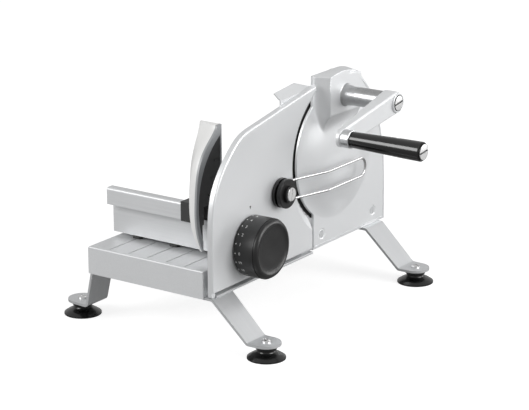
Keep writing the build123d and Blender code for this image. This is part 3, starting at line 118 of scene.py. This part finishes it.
class Finish(Nodes):
    """A material being mixed on a Principled shader."""

    def __init__(self, name, **sockets):
        self.material = bpy.data.materials.new(name)
        self.material.use_nodes = True
        super().__init__(self.material.node_tree)
        self.shader = self.tree.nodes["Principled BSDF"]
        for socket, value in sockets.items():
            self.put(socket.replace("_", " "), value)

    def put(self, name, value):
        """Gives one of the shader's own sockets its value."""
        if isinstance(value, tuple) and len(value) == 3:
            value = (*value, 1.0)
        self.join(value, self.shader.inputs[name])
        return self

    def place(self, centre=(0, 0, 0), scale=(1, 1, 1)):
        """The piece's own coordinates, moved to centre and stretched."""
        here = self.node("ShaderNodeTexCoord", {}, {}, "Object")
        moved = self.node("ShaderNodeVectorMath", {"operation": "SUBTRACT"}, [here, centre])
        return self.node("ShaderNodeMapping", {}, {"Vector": moved, "Scale": scale})

    def along_x(self):
        """The piece's own X coordinate."""
        return self.node("ShaderNodeSeparateXYZ", {}, [self.place()], "X")

    def radius(self, axis):
        """Distance in metres from the line along X through axis, in millimetres."""
        flat = self.place((0, axis[0] * MM, axis[1] * MM), (0, 1, 1))
        return self.node("ShaderNodeVectorMath", {"operation": "LENGTH"}, [flat], "Value")

    def noise(self, scale, detail=2.0, place=None):
        """Cloudy noise from 0 to 1; scale counts its lumps in a metre."""
        inputs = {"Vector": place or self.place(), "Scale": scale, "Detail": detail}
        return self.node("ShaderNodeTexNoise", {}, inputs)

    def blend(self, mask, first, second):
        """Colour that goes from first to second as mask goes from 0 to 1."""
        first, second = ((*c, 1.0) if isinstance(c, tuple) else c for c in (first, second))
        inputs = {MIX_FACTOR: mask, MIX_FIRST: first, MIX_SECOND: second}
        return self.node("ShaderNodeMix", {"data_type": "RGBA"}, inputs, MIX_COLOUR)

    def relief(self, height, depth):
        """Bump of that depth in metres."""
        inputs = {"Height": height, "Distance": depth, "Strength": 1.0}
        return self.put("Normal", self.node("ShaderNodeBump", {}, inputs))


# ---------------------------------------------------------------- finishes
TOOL_PITCH = 0.4 * MM
SHADED_SIDE_FROM = 12.5 * MM                 # x where the painted shade on the blade's side towards the casting starts
GROUND_RIM = (77.0 * MM, 77.5 * MM)     # the blade's rougher rim starts between these
PUSHER_RIM = (-15.2 * MM, -14.8 * MM)   # x where the shell's grey rim starts


def shade(colour, factor):
    """The colour made lighter or darker by a factor."""
    return tuple(min(1.0, c * factor) for c in colour)


def powder_coat(name, colour, metallic=0.45, roughness=0.4):
    """Sprayed silver: a fine even grain with faint cloudy variation."""
    finish = Finish(name, Metallic=metallic)
    cloud = finish.noise(14.0, 3.0)
    grain = finish.noise(2600.0, 2.0)
    mottle = cloud * 0.6 + grain * 0.4
    finish.put("Base Color", finish.blend(mottle, shade(colour, 0.96), shade(colour, 1.03)))
    finish.put("Roughness", roughness - 0.05 + 0.1 * grain)
    return finish.relief(grain, 0.00003).material


def brushed(name, colour, scale, metallic=0.8, roughness=0.34, depth=0.00002):
    """Brushed metal: noise drawn out along the way it was brushed."""
    finish = Finish(name, Metallic=metallic)
    lines = finish.noise(1.0, 3.0, finish.place(scale=scale))
    cloud = finish.noise(22.0, 2.0)
    streaks = lines * 0.7 + cloud * 0.3
    finish.put("Base Color", finish.blend(streaks, shade(colour, 0.9), shade(colour, 1.06)))
    finish.put("Roughness", roughness - 0.08 + 0.16 * lines)
    return finish.relief(lines, depth).material


def turned(name, colour, axis, roughness=0.2):
    """Lathe-turned metal: fine rings that run around the X line through axis."""
    finish = Finish(name, Metallic=1.0)
    turns = 2 * math.pi / TOOL_PITCH
    tool_way = finish.along_x() * turns + finish.radius(axis) * turns
    rings = tool_way.sine() * 0.5 + 0.5
    cloud = finish.noise(160.0, 2.0)
    finish.put("Base Color", finish.blend(cloud, shade(colour, 0.95), shade(colour, 1.04)))
    finish.put("Roughness", roughness + 0.08 * rings + 0.06 * cloud)
    return finish.relief(rings, 0.000008).material


def moulded(name, colour, roughness=0.45, grain=0.00002, coat=0.0, scale=1900.0):
    """Moulded plastic or rubber with a fine grain and faint uneven gloss."""
    finish = Finish(name, Metallic=0.0, Coat_Weight=coat, Coat_Roughness=0.12)
    cloud = finish.noise(40.0, 3.0)
    pores = finish.noise(scale, 2.0)
    finish.put("Base Color", finish.blend(cloud, shade(colour, 0.85), shade(colour, 1.15)))
    finish.put("Roughness", roughness - 0.05 + 0.1 * cloud)
    return finish.relief(pores, grain).material


def blade_steel(name):
    """Ground blade: concentric grinding rings; its side towards the casting is painted near black, matte and
    not metal, as painted shade in the deep gap.
    """
    finish = Finish(name)
    far = finish.radius(BLADE_AXIS)
    rings = finish.noise(900.0, 3.0, finish.node("ShaderNodeCombineXYZ", {}, [far, 0.0, 0.0]))
    rim = far.step(*GROUND_RIM)
    steel = finish.blend(rings, (0.60, 0.61, 0.62), (0.74, 0.75, 0.76))
    # painted shade: near black, matte and not metal where the blade faces the casting
    painted_shade = finish.along_x() > SHADED_SIDE_FROM
    finish.put("Base Color", finish.blend(painted_shade, steel, (0.012, 0.012, 0.012)))
    finish.put("Metallic", 1 - painted_shade)
    finish.put("Roughness", 0.16 + 0.14 * rings + 0.08 * rim + 0.3 * painted_shade)
    return finish.relief(rings, 0.00001).material


def pusher_white(name):
    """White shell; its rim next to the dark face is mid-grey."""
    finish = Finish(name, Metallic=0.0, Coat_Weight=0.15, Coat_Roughness=0.2)
    rim = finish.along_x().step(*PUSHER_RIM)
    cloud = finish.noise(30.0, 2.0)
    white = finish.blend(cloud, (0.80, 0.80, 0.79), (0.84, 0.84, 0.83))
    finish.put("Base Color", finish.blend(rim, white, (0.32, 0.33, 0.34)))
    finish.put("Roughness", 0.34 + 0.06 * cloud)
    return finish.relief(finish.noise(2200.0), 0.00001).material


SILVER = (0.74, 0.75, 0.76)
ALUMINIUM = (0.70, 0.71, 0.72)
STEEL = (0.46, 0.465, 0.47)
BLACK = (0.018, 0.018, 0.019)
JET = (0.003, 0.003, 0.003)
# near black: for black plastic and print, and as painted shade in the caps' slots and round their edges
BLACK_AND_SHADE = (0.03, 0.03, 0.03)
CHROME = (0.78, 0.78, 0.78)

FINISHES = {
    "housing": powder_coat("cast_silver", SILVER),
    "stop_plate": powder_coat("plate_silver", SILVER),
    "table": brushed("table_silver", SILVER, (900.0, 8.0, 900.0), 0.3, 0.4),
    "carriage": brushed("carriage_silver", SILVER, (8.0, 900.0, 900.0), 0.35, 0.4),
    "front_leg_strip": brushed("strip_aluminium", ALUMINIUM, (10.0, 1400.0, 10.0), 0.7, 0.36),
    "crank_arm": powder_coat("arm_silver", SILVER, 0.3),
    "stop_rail": brushed("rail_aluminium", ALUMINIUM, (900.0, 8.0, 900.0), 0.6, 0.36),
    "top_lip": powder_coat("lip_silver", SILVER),
    "stop_liner": brushed("liner_aluminium", ALUMINIUM, (900.0, 8.0, 900.0), 0.6, 0.36),
    "bearing_tube": turned("tube_steel", STEEL, HUB_AXIS, 0.24),
    "grip_ferrule": turned("ferrule_steel", ALUMINIUM, HUB_AXIS, 0.22),
    "blade_axle": turned("axle_steel", STEEL, BLADE_AXIS),
    "housing_screws": powder_coat("screw_silver", (0.66, 0.67, 0.68), 0.5, 0.34),
    "foot_screws": brushed("screw_chrome", CHROME, (500.0, 500.0, 500.0), 1.0, 0.2),
    "crank_cap": brushed("cap_chrome", (0.86, 0.86, 0.86), (30.0, 900.0, 30.0), 0.6, 0.25),
    "blade": blade_steel("blade_steel"),
    "blade_bolt": moulded("bolt_black", BLACK, 0.35),
    "gear_cover": brushed("cover_steel", STEEL, (900.0, 900.0, 8.0)),
    "crank_bushes": turned("bush_bronze", (0.62, 0.46, 0.22), HUB_AXIS),
    "blade_gear": moulded("gear_black", BLACK_AND_SHADE, 0.5),
    "suction_cup_front_left": moulded("cup_rubber", JET, 0.24, 0.00001, 0.25, 700.0),
    "thickness_knob": moulded("knob_black", (0.012, 0.012, 0.012), 0.36),
    "holder_hub": moulded("hub_black", (0.01, 0.01, 0.01), 0.34),
    "grip": moulded("grip_black", JET, 0.16, 0.000004, 0.4, 400.0),
    "slice_loop": brushed("loop_stainless", (0.64, 0.64, 0.64), (60.0, 60.0, 60.0), 1.0, 0.12, 0.000005),
    "pusher_shell": pusher_white("pusher_white"),
    "pusher_face": moulded("face_black", (0.04, 0.04, 0.04), 0.5),
}
SAME_FINISH = {
    "rear_leg_strip": "front_leg_strip",
    "suction_cup_front_right": "suction_cup_front_left",
    "suction_cup_rear_left": "suction_cup_front_left",
    "suction_cup_rear_right": "suction_cup_front_left",
    "grip_cap": "crank_cap",
    "holder_screw": "crank_cap",
    "blade_screws": "foot_screws",
    "crank_shaft": "bearing_tube",
    "grip_spindle": "bearing_tube",
    "guide_rods": "bearing_tube",
    "follower_pin": "bearing_tube",
    "knob_clip": "bearing_tube",
    "guide_bushes": "crank_bushes",
    "crank_pinion": "blade_gear",
    "step_cam": "blade_gear",
    "carriage_runners": "blade_gear",
    "crank_washer": "blade_gear",
    "pusher_shoe": "pusher_face",
    "housing_spacer": "stop_rail",
}

for node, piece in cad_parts.items():
    material = FINISHES[SAME_FINISH.get(node, node)]
    for slot in piece.material_slots:
        slot.material = material


# ---------------------------------------------------------------- cast housing
def smooth(value):
    """0 below 0, 1 above 1, and 3 v^2 - 2 v^3 between."""
    value = np.clip(value, 0.0, 1.0)
    return value * value * (3.0 - 2.0 * value)


def spline_line(points, first, last, count):
    """Points on the cubic spline through the given ones: chord length runs along it, the
    slopes of neighbouring pieces agree, and its ends leave along first and last."""
    points = np.array(points, float)
    chord = np.linalg.norm(np.diff(points, axis=0), axis=1)
    run = np.concatenate([[0.0], np.cumsum(chord)])
    size = len(points)
    system, right = np.eye(size), np.zeros((size, 2))
    right[0], right[-1] = first, last
    for i in range(1, size - 1):
        before, after = chord[i - 1], chord[i]
        system[i, i - 1:i + 2] = after, 2 * (before + after), before
        right[i] = 3 * (after / before * (points[i] - points[i - 1])
                        + before / after * (points[i + 1] - points[i]))
    slopes = np.linalg.solve(system, right)
    place = np.linspace(0.0, run[-1], count)
    piece = np.clip(np.searchsorted(run, place, "right") - 1, 0, size - 2)
    length = chord[piece][:, None]
    t = (place - run[piece])[:, None] / length
    return ((2 * t ** 3 - 3 * t ** 2 + 1) * points[piece] + (t ** 3 - 2 * t ** 2 + t) * length * slopes[piece]
            + (3 * t ** 2 - 2 * t ** 3) * points[piece + 1] + (t ** 3 - t ** 2) * length * slopes[piece + 1])


CASTING_BACK = 15.0                     # x, in millimetres, as all sizes down to GRIP_END
CASTING_FACE = 18.0
HUMP_HEIGHT = 17.5
HUMP_SIDES = (35.8, 102.8)              # the gearbox face, in y
HUMP_FOOT = 226.0
COVE = (10.9, 19.0, 46.0)               # how far the hump fades out at left, right and below
ROOF_ARC = (101.4, 61.0, 276.0)         # radius of the gearbox roof, and y, z of its top
ROOF_HALF = 60.0                        # the roof is level past this far from its top
ROOF_FROM = 255.0                       # z above which the front follows the roof
DOME = ((80.0, 0.0), (64.0, 4.5), (42.0, 11.5), (22.0, 13.5))      # radius, height
MOUTH_RADIUS = 81.0
MOUTH_LOW = (27.5, 106.19)
MOUTH_HIGH = (24.9, 237.95)
FOOT = (27.5, 185.55, 62.0)             # y of its two ends, z
PLATE_TOP = 274.6
BACK_EDGE = ((79.0, PLATE_TOP), (120.0, 262.0), (148.3, 236.3), (177.5, 173.0), (185.55, 105.0))
BORDER_POINTS = 278                     # of the outline: its back edge and its foot
RIM = (0.5, 2.6, 0.5)                   # the border's step: depth, place from the edge, width
GROOVE = (1.1, 3.7, 0.55)               # and the groove beside it
EDGE_ROUND = 0.7
CASTING_SCREWS = ((45.0, 78.1), (157.7, 79.2))
SCREW_SEAT = (0.3, 4.9, 0.5)
SCREW_GROOVE = (0.7, 5.3, 0.5)
WALL_MARGIN = 3.0                       # width left solid along the edge, and of its slope
CASTING_MIDDLE = (90.0, 165.0)


def hump_share(y, z):
    """How high the gearbox hump stands, 0 to 1: 1 on its face, (1 - t)^2 beside it, where t
    is the distance from the face as a share of the cove's width."""
    left = np.clip((HUMP_SIDES[0] - y) / COVE[0], 0, 1)
    right = np.clip((y - HUMP_SIDES[1]) / COVE[1], 0, 1)
    below = np.clip((HUMP_FOOT - z) / COVE[2], 0, 1)
    t = np.clip(np.sqrt(left ** 2 + right ** 2 + below ** 2), 0, 1)
    return (1 - t) ** 2


def casting_outlines():
    """The casting's outline (y, z) at its back and at its front. Its front follows the
    gearbox roof, an arc given by ROOF_ARC."""
    y0, z0 = BLADE_AXIS
    low = math.atan2(MOUTH_LOW[1] - z0, MOUTH_LOW[0] - y0) + 2 * math.pi
    high = math.atan2(MOUTH_HIGH[1] - z0, MOUTH_HIGH[0] - y0)
    arc = np.linspace(low, high, 110)
    foot_left, foot_right, foot_z = FOOT
    roof_left = (MOUTH_HIGH[0], PLATE_TOP)
    corners = [((foot_left, foot_z), MOUTH_LOW, 30), (MOUTH_HIGH, roof_left, 26),
               (roof_left, BACK_EDGE[0], 50), (BACK_EDGE[-1], (foot_right, foot_z), 30),
               ((foot_right, foot_z), (foot_left, foot_z), 100)]
    runs = [np.linspace(start, end, count)[:-1] for start, end, count in corners]
    mouth = np.stack([y0 + MOUTH_RADIUS * np.cos(arc), z0 + MOUTH_RADIUS * np.sin(arc)], 1)[:-1]
    back_edge = spline_line(BACK_EDGE, (1, 0), (0, -1), 150)[:-1]
    back = np.concatenate([runs[0], mouth, runs[1], runs[2], back_edge, runs[3], runs[4]])
    y, z = back.T
    bend, top_y, top_z = ROOF_ARC
    roof = top_z - bend + np.sqrt(bend ** 2 - np.clip(y - top_y, -ROOF_HALF, ROOF_HALF) ** 2)
    on_top = (z > ROOF_FROM) * hump_share(y, z) ** 0.5
    front = np.stack([y, z + on_top * (roof - z)], 1)
    return back, front


def edge_distance(y, z, line):
    """Distance from every point to the nearest point of a line, in batches of rays."""
    far = np.empty(y.shape)
    batch = 64
    for i in range(0, len(y), batch):
        rays = slice(i, i + batch)
        far[rays] = np.hypot(y[rays, :, None] - line[:, 0], z[rays, :, None] - line[:, 1]).min(2)
    return far


def step_down(place, depth, start, width):
    """The depth before start, 0 a width past it, smooth between."""
    return depth * (1 - smooth((place - start) / width))


def groove(place, depth, centre, half_width):
    """A flat groove of that depth: depth * exp(-t^4), t from its centre in half widths."""
    return depth * np.exp(-((place - centre) / half_width) ** 4)


def casting_height(y, z):
    """Height of the casting's front over its plate: the dome over the blade wheel, a spline
    of the distance from the blade's axis, and the hump, joined as (a^4 + b^4)^(1/4)."""
    dome = spline_line(DOME, (-1, 0.12), (-1, 0), 80)[::-1]
    round_blade = np.interp(np.hypot(y - BLADE_AXIS[0], z - BLADE_AXIS[1]), dome[:, 0], dome[:, 1])
    hump = HUMP_HEIGHT * hump_share(y, z)
    return np.minimum((round_blade ** 4 + hump ** 4) ** 0.25, HUMP_HEIGHT)


def casting_mesh():
    """The casting as one closed shell: rays from a middle point to the outline, front and
    back. The front is plate, dome and hump with a stepped border and a rounded edge; the
    back follows it a wall behind. Returns points in metres and faces."""
    back, front = casting_outlines()
    border = back[-BORDER_POINTS:]
    middle = np.array(CASTING_MIDDLE)
    steps = np.linspace(0.0, 1.0, 105)[1:]
    share = (1 - (1 - steps) ** 1.5)[None, :, None]
    rays = middle + share * (front - middle)[:, None, :]
    y, z = rays[..., 0], rays[..., 1]
    edge = edge_distance(y, z, front)
    x = CASTING_FACE + casting_height(y, z)
    inside = edge_distance(y, z, border)
    x -= step_down(inside, *RIM) + groove(inside, *GROOVE)
    x -= EDGE_ROUND * (1 - np.sqrt(1 - np.clip(1 - edge / EDGE_ROUND, 0, 1) ** 2))
    for screw_y, screw_z in CASTING_SCREWS:
        around = np.hypot(y - screw_y, z - screw_z)
        x -= step_down(around, *SCREW_SEAT) + groove(around, *SCREW_GROOVE)
    inner_share = np.linspace(1.0, 0.0, 41)[:-1][None, :, None]
    inner = middle + inner_share * (back - middle)[:, None, :]
    inner_y, inner_z = inner[..., 0], inner[..., 1]
    margin = smooth((edge_distance(inner_y, inner_z, back) - WALL_MARGIN) / WALL_MARGIN)
    inner_x = CASTING_BACK + casting_height(inner_y, inner_z) * margin
    across = np.concatenate([np.stack([x, y, z], 2), np.stack([inner_x, inner_y, inner_z], 2)], 1)
    count, rows = across.shape[:2]
    here = np.arange(count)[:, None] * rows + np.arange(rows - 1)[None, :]
    there = np.roll(here, -1, axis=0)
    quads = np.stack([here, there, there + 1, here + 1], 2).reshape(-1, 4)
    poles = np.array([[CASTING_FACE + casting_height(*middle), *middle],
                      [CASTING_BACK + casting_height(*middle), *middle]])
    last = count * rows
    ring, after = here[:, 0], there[:, 0]
    fans = np.concatenate([np.stack([np.full(count, last), after, ring], 1),
                           np.stack([np.full(count, last + 1), ring + rows - 1, after + rows - 1], 1)])
    points = np.concatenate([across.reshape(-1, 3), poles]) * MM
    return points, quads.tolist() + fans.tolist()


def new_piece(name, points, faces, material, body, slot):
    """A new flat-shaded piece from arrays of points and faces, already in its place."""
    mesh = bpy.data.meshes.new(name)
    mesh.from_pydata(points.tolist(), [], faces)
    mesh.update()
    piece = bpy.data.objects.new(name, mesh)
    bpy.context.scene.collection.objects.link(piece)
    mesh.materials.append(material)
    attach(piece, body)
    return piece


def solid_mesh(name, shell, material, body, slot, crease=35.0):
    """A new piece from a shell (points, faces), shaded smooth but for its creases."""
    piece = new_piece(name, *shell, material, body, slot)
    piece.data.shade_smooth()
    piece.data.set_sharp_from_angle(angle=math.radians(crease))
    return piece


casting = solid_mesh("cast_housing", casting_mesh(), FINISHES["housing"], "base", "silver_coat")
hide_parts("housing")


# ---------------------------------------------------------------- crank arm and caps
ARM_BACK = 87.0
ARM_THICKNESS = 18.9                    # at the hub's axis
ARM_REACH = 101.5
ARM_DROP = math.radians(12.0)
ARM_ENDS = (13.0, 10.8)                 # outline radius at the hub and at the grip
ARM_FULL = sum(ARM_ENDS) + ARM_REACH    # its whole length
BACK_LEAN = 4.6 / ARM_FULL              # how far the back and front lean, per length
FRONT_LEAN = 0.0729
# the arm's rings: on the front or not, distance from that surface, how far drawn in
ARM_RINGS = ((False, 0.0, 0.9), (False, 0.3, 0.3), (False, 0.9, 0.0),
             (True, -2.1, 0.0), (True, -1.7, 0.12), (True, -0.3, 1.5), (True, 0.0, 2.1))
BOSS = ((104.0, 11.3), (106.9, 11.3), (107.3, 11.15), (107.5, 10.8), (107.5, 10.0), (107.4, 9.85),
        (105.4, 9.85))                  # x, radius
SPINDLE_START = 92.0
SPINDLE_RADIUS = 4.0
HUB_CAP = (105.5, 108.0, 9.2)           # x of its seat and face, radius
GRIP_END = 200.3
HANDLE_CAP = (GRIP_END - 1.2, GRIP_END + 1.6, 9.4)
SLOT_WIDTH = 1.9


def arm_outline(count=60):
    """The arm's outline along (u) and across (w): the hull of a circle at each end."""
    hub, tip = ARM_ENDS
    touch = math.acos((hub - tip) / ARM_REACH)
    round_hub = np.linspace(touch, 2 * math.pi - touch, count)
    round_tip = np.linspace(-touch, touch, count)
    hub_line = np.stack([hub * np.cos(round_hub), hub * np.sin(round_hub)], 1)
    tip_line = np.stack([ARM_REACH + tip * np.cos(round_tip), tip * np.sin(round_tip)], 1)
    return np.concatenate([hub_line, tip_line])


def stack_rings(rings):
    """Closed shell from rings of points: quads between neighbours, a flat face at each end."""
    count = rings.shape[1]
    here = np.arange(count)
    there = np.roll(here, -1)
    band = np.stack([here, there, there + count, here + count], 1)
    quads = [band + i * count for i in range(len(rings) - 1)]
    last = (len(rings) - 1) * count
    ends = [here[::-1].tolist(), (here + last).tolist()]
    return rings.reshape(-1, 3), np.concatenate(quads).tolist() + ends


def merged(*parts):
    """Several (points, faces) as one."""
    points, faces, start = [], [], 0
    for part_points, part_faces in parts:
        points.append(part_points)
        faces.extend([start + i for i in face] for face in part_faces)
        start += len(part_points)
    return np.concatenate(points), faces


def lathe_rings(profile, axis, count=96):
    """Rings of a profile of (x, radius) turned about the X line through axis."""
    y, z = axis
    around = np.linspace(0, 2 * math.pi, count, endpoint=False)
    x, radius = np.array(profile).T
    return np.stack([np.repeat(x[:, None], count, 1), y + radius[:, None] * np.cos(around),
                     z + radius[:, None] * np.sin(around)], 2)


def metres(part):
    """(points, faces) from millimetres to metres."""
    return part[0] * MM, part[1]


def arm_mesh():
    """The crank arm: rings of its outline, each drawn in by its own inset, from its back,
    which leans out towards the grip, to its front, which leans in; and its hub's boss."""
    line = arm_outline()
    spine = np.stack([np.clip(line[:, 0], 0, ARM_REACH), np.zeros(len(line))], 1)
    inward = (spine - line) / np.linalg.norm(spine - line, axis=1)[:, None]
    rings = []
    for on_front, rise, inset in ARM_RINGS:
        u, w = (line + inset * inward).T
        back_x = ARM_BACK + BACK_LEAN * (u + ARM_ENDS[0])
        front_x = ARM_BACK + ARM_THICKNESS - FRONT_LEAN * u
        x = (front_x if on_front else back_x) + rise
        y = HUB_AXIS[0] - u * math.cos(ARM_DROP) + w * math.sin(ARM_DROP)
        z = HUB_AXIS[1] - u * math.sin(ARM_DROP) - w * math.cos(ARM_DROP)
        rings.append(np.stack([x, y, z], 1))
    return metres(merged(stack_rings(np.array(rings)), stack_rings(lathe_rings(BOSS, HUB_AXIS))))


def cap_mesh(axis, seat, face, radius, slot_angle):
    """A round cap with a slot: two half discs with rounded edges on a lower disc."""
    y, z = axis
    parts = [stack_rings(lathe_rings([(seat, radius - 0.1), (face - 1.1, radius - 0.1)], axis))]
    start = math.asin(SLOT_WIDTH / 2 / radius)
    arc = np.linspace(start, math.pi - start, 60)
    outline = np.stack([radius * np.cos(arc), radius * np.sin(arc)], 1)
    middle = np.array([0.0, radius * 0.45])
    inward = (middle - outline) / np.linalg.norm(middle - outline, axis=1)[:, None]
    for turn in (slot_angle, slot_angle + math.pi):
        rings = []
        for x, inset in ((seat + 0.2, 0.0), (face - 0.6, 0.0), (face - 0.2, 0.15), (face, 0.6)):
            right, up = (outline + inset * inward).T
            rings.append(np.stack([np.full(len(right), x), y + right * math.cos(turn) - up * math.sin(turn),
                                   z + right * math.sin(turn) + up * math.cos(turn)], 1))
        parts.append(stack_rings(np.array(rings)))
    return metres(merged(*parts))


def cap_finish(name, axis, face, radius):
    """Pale metal cap, with painted shade at the bottom of its slot and in a ring around its edge."""
    finish = Finish(name, Metallic=0.55)
    above_slot = finish.along_x().step((face - 1.0) * MM, (face - 0.7) * MM)
    edge = finish.radius(axis).step((radius - 0.75) * MM, (radius - 0.45) * MM)
    unshaded = above_slot * (1 - edge)
    cloud = finish.noise(260.0, 2.0)
    metal = finish.blend(cloud, (0.80, 0.80, 0.80), (0.88, 0.88, 0.88))
    # painted shade: the slot's bottom and a ring round the edge are near black
    finish.put("Base Color", finish.blend(unshaded, BLACK_AND_SHADE, metal))
    finish.put("Roughness", 0.28 + 0.1 * cloud)
    return finish.relief(finish.noise(1500.0), 0.00001).material


def slotted_cap(name, axis, size, slot_angle):
    """A cap with its own finish; size is x of its seat, x of its face and its radius."""
    metal = cap_finish(name + "_metal", axis, *size[1:])
    return solid_mesh(name, cap_mesh(axis, *size, math.radians(slot_angle)), metal, "crank", "bright_screw")


arm = solid_mesh("crank_arm_bevelled", arm_mesh(), FINISHES["crank_arm"], "crank", "satin_aluminium", 24.0)
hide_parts("crank_arm")
spindle_line = [(SPINDLE_START, SPINDLE_RADIUS), (GRIP_END - 1.6, SPINDLE_RADIUS)]
spindle = solid_mesh("short_spindle", metres(stack_rings(lathe_rings(spindle_line, GRIP_AXIS))),
                     FINISHES["bearing_tube"], "crank", "turned_steel")
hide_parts("grip_spindle")
hub_cap = slotted_cap("hub_cap", HUB_AXIS, HUB_CAP, 9.0)
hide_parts("crank_cap")
end_cap = slotted_cap("handle_cap", GRIP_AXIS, HANDLE_CAP, 7.0)
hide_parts("grip_cap")


# ---------------------------------------------------------------- printed dial
PRINT_HEIGHT = 0.06 * MM


def ink_print(name, points, faces, material, body, slot):
    """A new piece of ink: flat faces given their thickness by Solidify."""
    piece = new_piece(name, points, faces, material, body, slot)
    ink = piece.modifiers.new("ink", "SOLIDIFY")
    ink.thickness = PRINT_HEIGHT
    ink.offset = 0.0


def printed_number(text, size):
    """Flat outline mesh of a number: its points (right, up) in metres and its faces."""
    curve = bpy.data.curves.new("number_" + text, "FONT")
    curve.body = text
    curve.size = size
    curve.align_x = "CENTER"
    curve.align_y = "CENTER"
    curve.resolution_u = 2
    letter = bpy.data.objects.new("number_" + text, curve)
    bpy.context.scene.collection.objects.link(letter)
    bpy.context.view_layer.update()
    mesh = bpy.data.meshes.new_from_object(letter)
    flat = np.empty(3 * len(mesh.vertices), np.float32)
    mesh.vertices.foreach_get("co", flat)
    points = flat.astype(float).reshape(-1, 3)[:, :2]
    faces = [list(p.vertices) for p in mesh.polygons]
    bpy.data.objects.remove(letter)
    bpy.data.curves.remove(curve)
    bpy.data.meshes.remove(mesh)
    return points, faces


KNOB_BACK = 25.0 * MM
KNOB_RADIUS = 35.0 * MM
DOT_RADIUS = 0.75 * MM
DOT_PLACE = 3.0 * MM                    # in front of the knob's back, as the next
NUMBER_PLACE = 8.6 * MM
NUMBER_SIZE = 5.0 * MM
NUMBERS = 20
NUMBER_ON_TOP = 5
dial_white = moulded("dial_white", (0.75, 0.75, 0.74), 0.5)
print_black = moulded("print_black", BLACK_AND_SHADE, 0.5)


def wrap_on_knob(along, around, middle):
    """Points on the knob's side: along is metres along X, around metres round the rim
    towards the top from the angle middle, in degrees from +Y towards +Z."""
    angle = np.radians(middle) - around / KNOB_RADIUS
    reach = KNOB_RADIUS + PRINT_HEIGHT
    return np.stack([along, KNOB_AXIS[0] * MM + reach * np.cos(angle),
                     KNOB_AXIS[1] * MM + reach * np.sin(angle)], 1)


dial_points, dial_faces = [], []
rim = np.linspace(0, 2 * math.pi, 13)[:-1]
for number in range(NUMBERS):
    middle = 90 - 360 / NUMBERS * (number - NUMBER_ON_TOP)
    dot = wrap_on_knob(KNOB_BACK + DOT_PLACE + DOT_RADIUS * np.cos(rim), DOT_RADIUS * np.sin(rim), middle)
    start = sum(len(p) for p in dial_points)
    dial_points.append(dot)
    dial_faces.append([start + i for i in range(len(rim))])
    outline, faces = printed_number(str(number), NUMBER_SIZE)
    start += len(dot)
    dial_points.append(wrap_on_knob(KNOB_BACK + NUMBER_PLACE + outline[:, 0], outline[:, 1], middle))
    dial_faces.extend([start + i for i in face] for face in faces)
ink_print("dial_numbers", np.concatenate(dial_points), dial_faces, dial_white, "knob", "white_plastic")

PLATE_FACE = 24.0 * MM
plate_face = PLATE_FACE + PRINT_HEIGHT
mark = np.array([[plate_face, -110.1 * MM, 148.6 * MM],
                 [plate_face, -108.5 * MM, 152.6 * MM],
                 [plate_face, -111.7 * MM, 152.6 * MM]])
ink_print("dial_mark", mark, [[0, 1, 2]], print_black, "stop", "dark_plastic")


# ---------------------------------------------------------------- floor, lights, camera
AIM = (0.0, 0.0, 0.12)
CAMERA_PLACE = (1.4263, -2.08415, 0.8903)
CAMERA_TURN = (35.01, 16.92, -0.19)     # degrees: round to the right, up, roll
LENS = 153.11


def stage_floor():
    """A large plain floor that keeps the object's shadow and looks white to the camera.
    Metal and gloss show it darker than the camera does."""
    floor = Finish("floor_white", Roughness=0.9)
    glossy = floor.node("ShaderNodeLightPath", {}, [], "Is Glossy Ray")
    floor.put("Base Color", floor.blend(glossy, (0.42, 0.42, 0.42), (0.16, 0.16, 0.16)))
    floor.put("Emission Color", (1.0, 1.0, 1.0))
    floor.put("Emission Strength", floor.seen(0.15) * 0.76)
    mesh = bpy.data.meshes.new("floor")
    side = 30.0
    corners = [(-side, -side, 0), (side, -side, 0), (side, side, 0), (-side, side, 0)]
    mesh.from_pydata(corners, [], [[0, 1, 2, 3]])
    piece = bpy.data.objects.new("floor", mesh)
    bpy.context.scene.collection.objects.link(piece)
    mesh.materials.append(floor.material)


def area_light(name, place, size, power):
    """A soft square lamp at place, aimed at the object's middle."""
    lamp = bpy.data.lights.new(name, "AREA")
    lamp.size = size
    lamp.energy = power
    piece = bpy.data.objects.new(name, lamp)
    bpy.context.scene.collection.objects.link(piece)
    aim = Vector(place) - Vector(AIM)
    piece.matrix_world = Matrix.Translation(place) @ aim.to_track_quat("Z", "Y").to_matrix().to_4x4()


def studio():
    """Plain soft studio light: three large lamps and a world that is white to the camera
    and dimmer in reflections."""
    world = bpy.data.worlds.new("studio")
    bpy.context.scene.world = world
    world.use_nodes = True
    sky = Nodes(world.node_tree)
    background = world.node_tree.nodes["Background"]
    background.inputs["Color"].default_value = (1, 1, 1, 1)
    sky.join(sky.seen(0.3) * 0.6 + 0.4, background.inputs["Strength"])
    area_light("lamp_right", (2.7, 0.5, 1.4), 2.0, 70.0)
    area_light("lamp_back", (2.0, 2.8, 0.55), 1.4, 30.0)
    area_light("lamp_left", (-1.3, -2.6, 1.6), 1.6, 54.0)


def photo_camera():
    """The photograph's viewpoint: 35 degrees round to the right, 17 degrees up."""
    azimuth, height, roll = (math.radians(angle) for angle in CAMERA_TURN)
    level = math.cos(height)
    back = Vector((math.sin(azimuth) * level, -math.cos(azimuth) * level, math.sin(height)))
    right = Vector((math.cos(azimuth), math.sin(azimuth), 0.0))
    up = back.cross(right)
    turned_right = math.cos(roll) * right + math.sin(roll) * up
    turned_up = math.cos(roll) * up - math.sin(roll) * right
    camera = bpy.data.cameras.new("camera")
    camera.sensor_width = 36.0
    camera.lens = LENS
    camera.clip_end = 100.0
    piece = bpy.data.objects.new("camera", camera)
    bpy.context.scene.collection.objects.link(piece)
    matrix = Matrix((turned_right, turned_up, back)).transposed().to_4x4()
    matrix.translation = Vector(CAMERA_PLACE)
    piece.matrix_world = matrix
    bpy.context.scene.camera = piece


stage_floor()
studio()
photo_camera()
bpy.context.scene.view_settings.view_transform = "Standard"
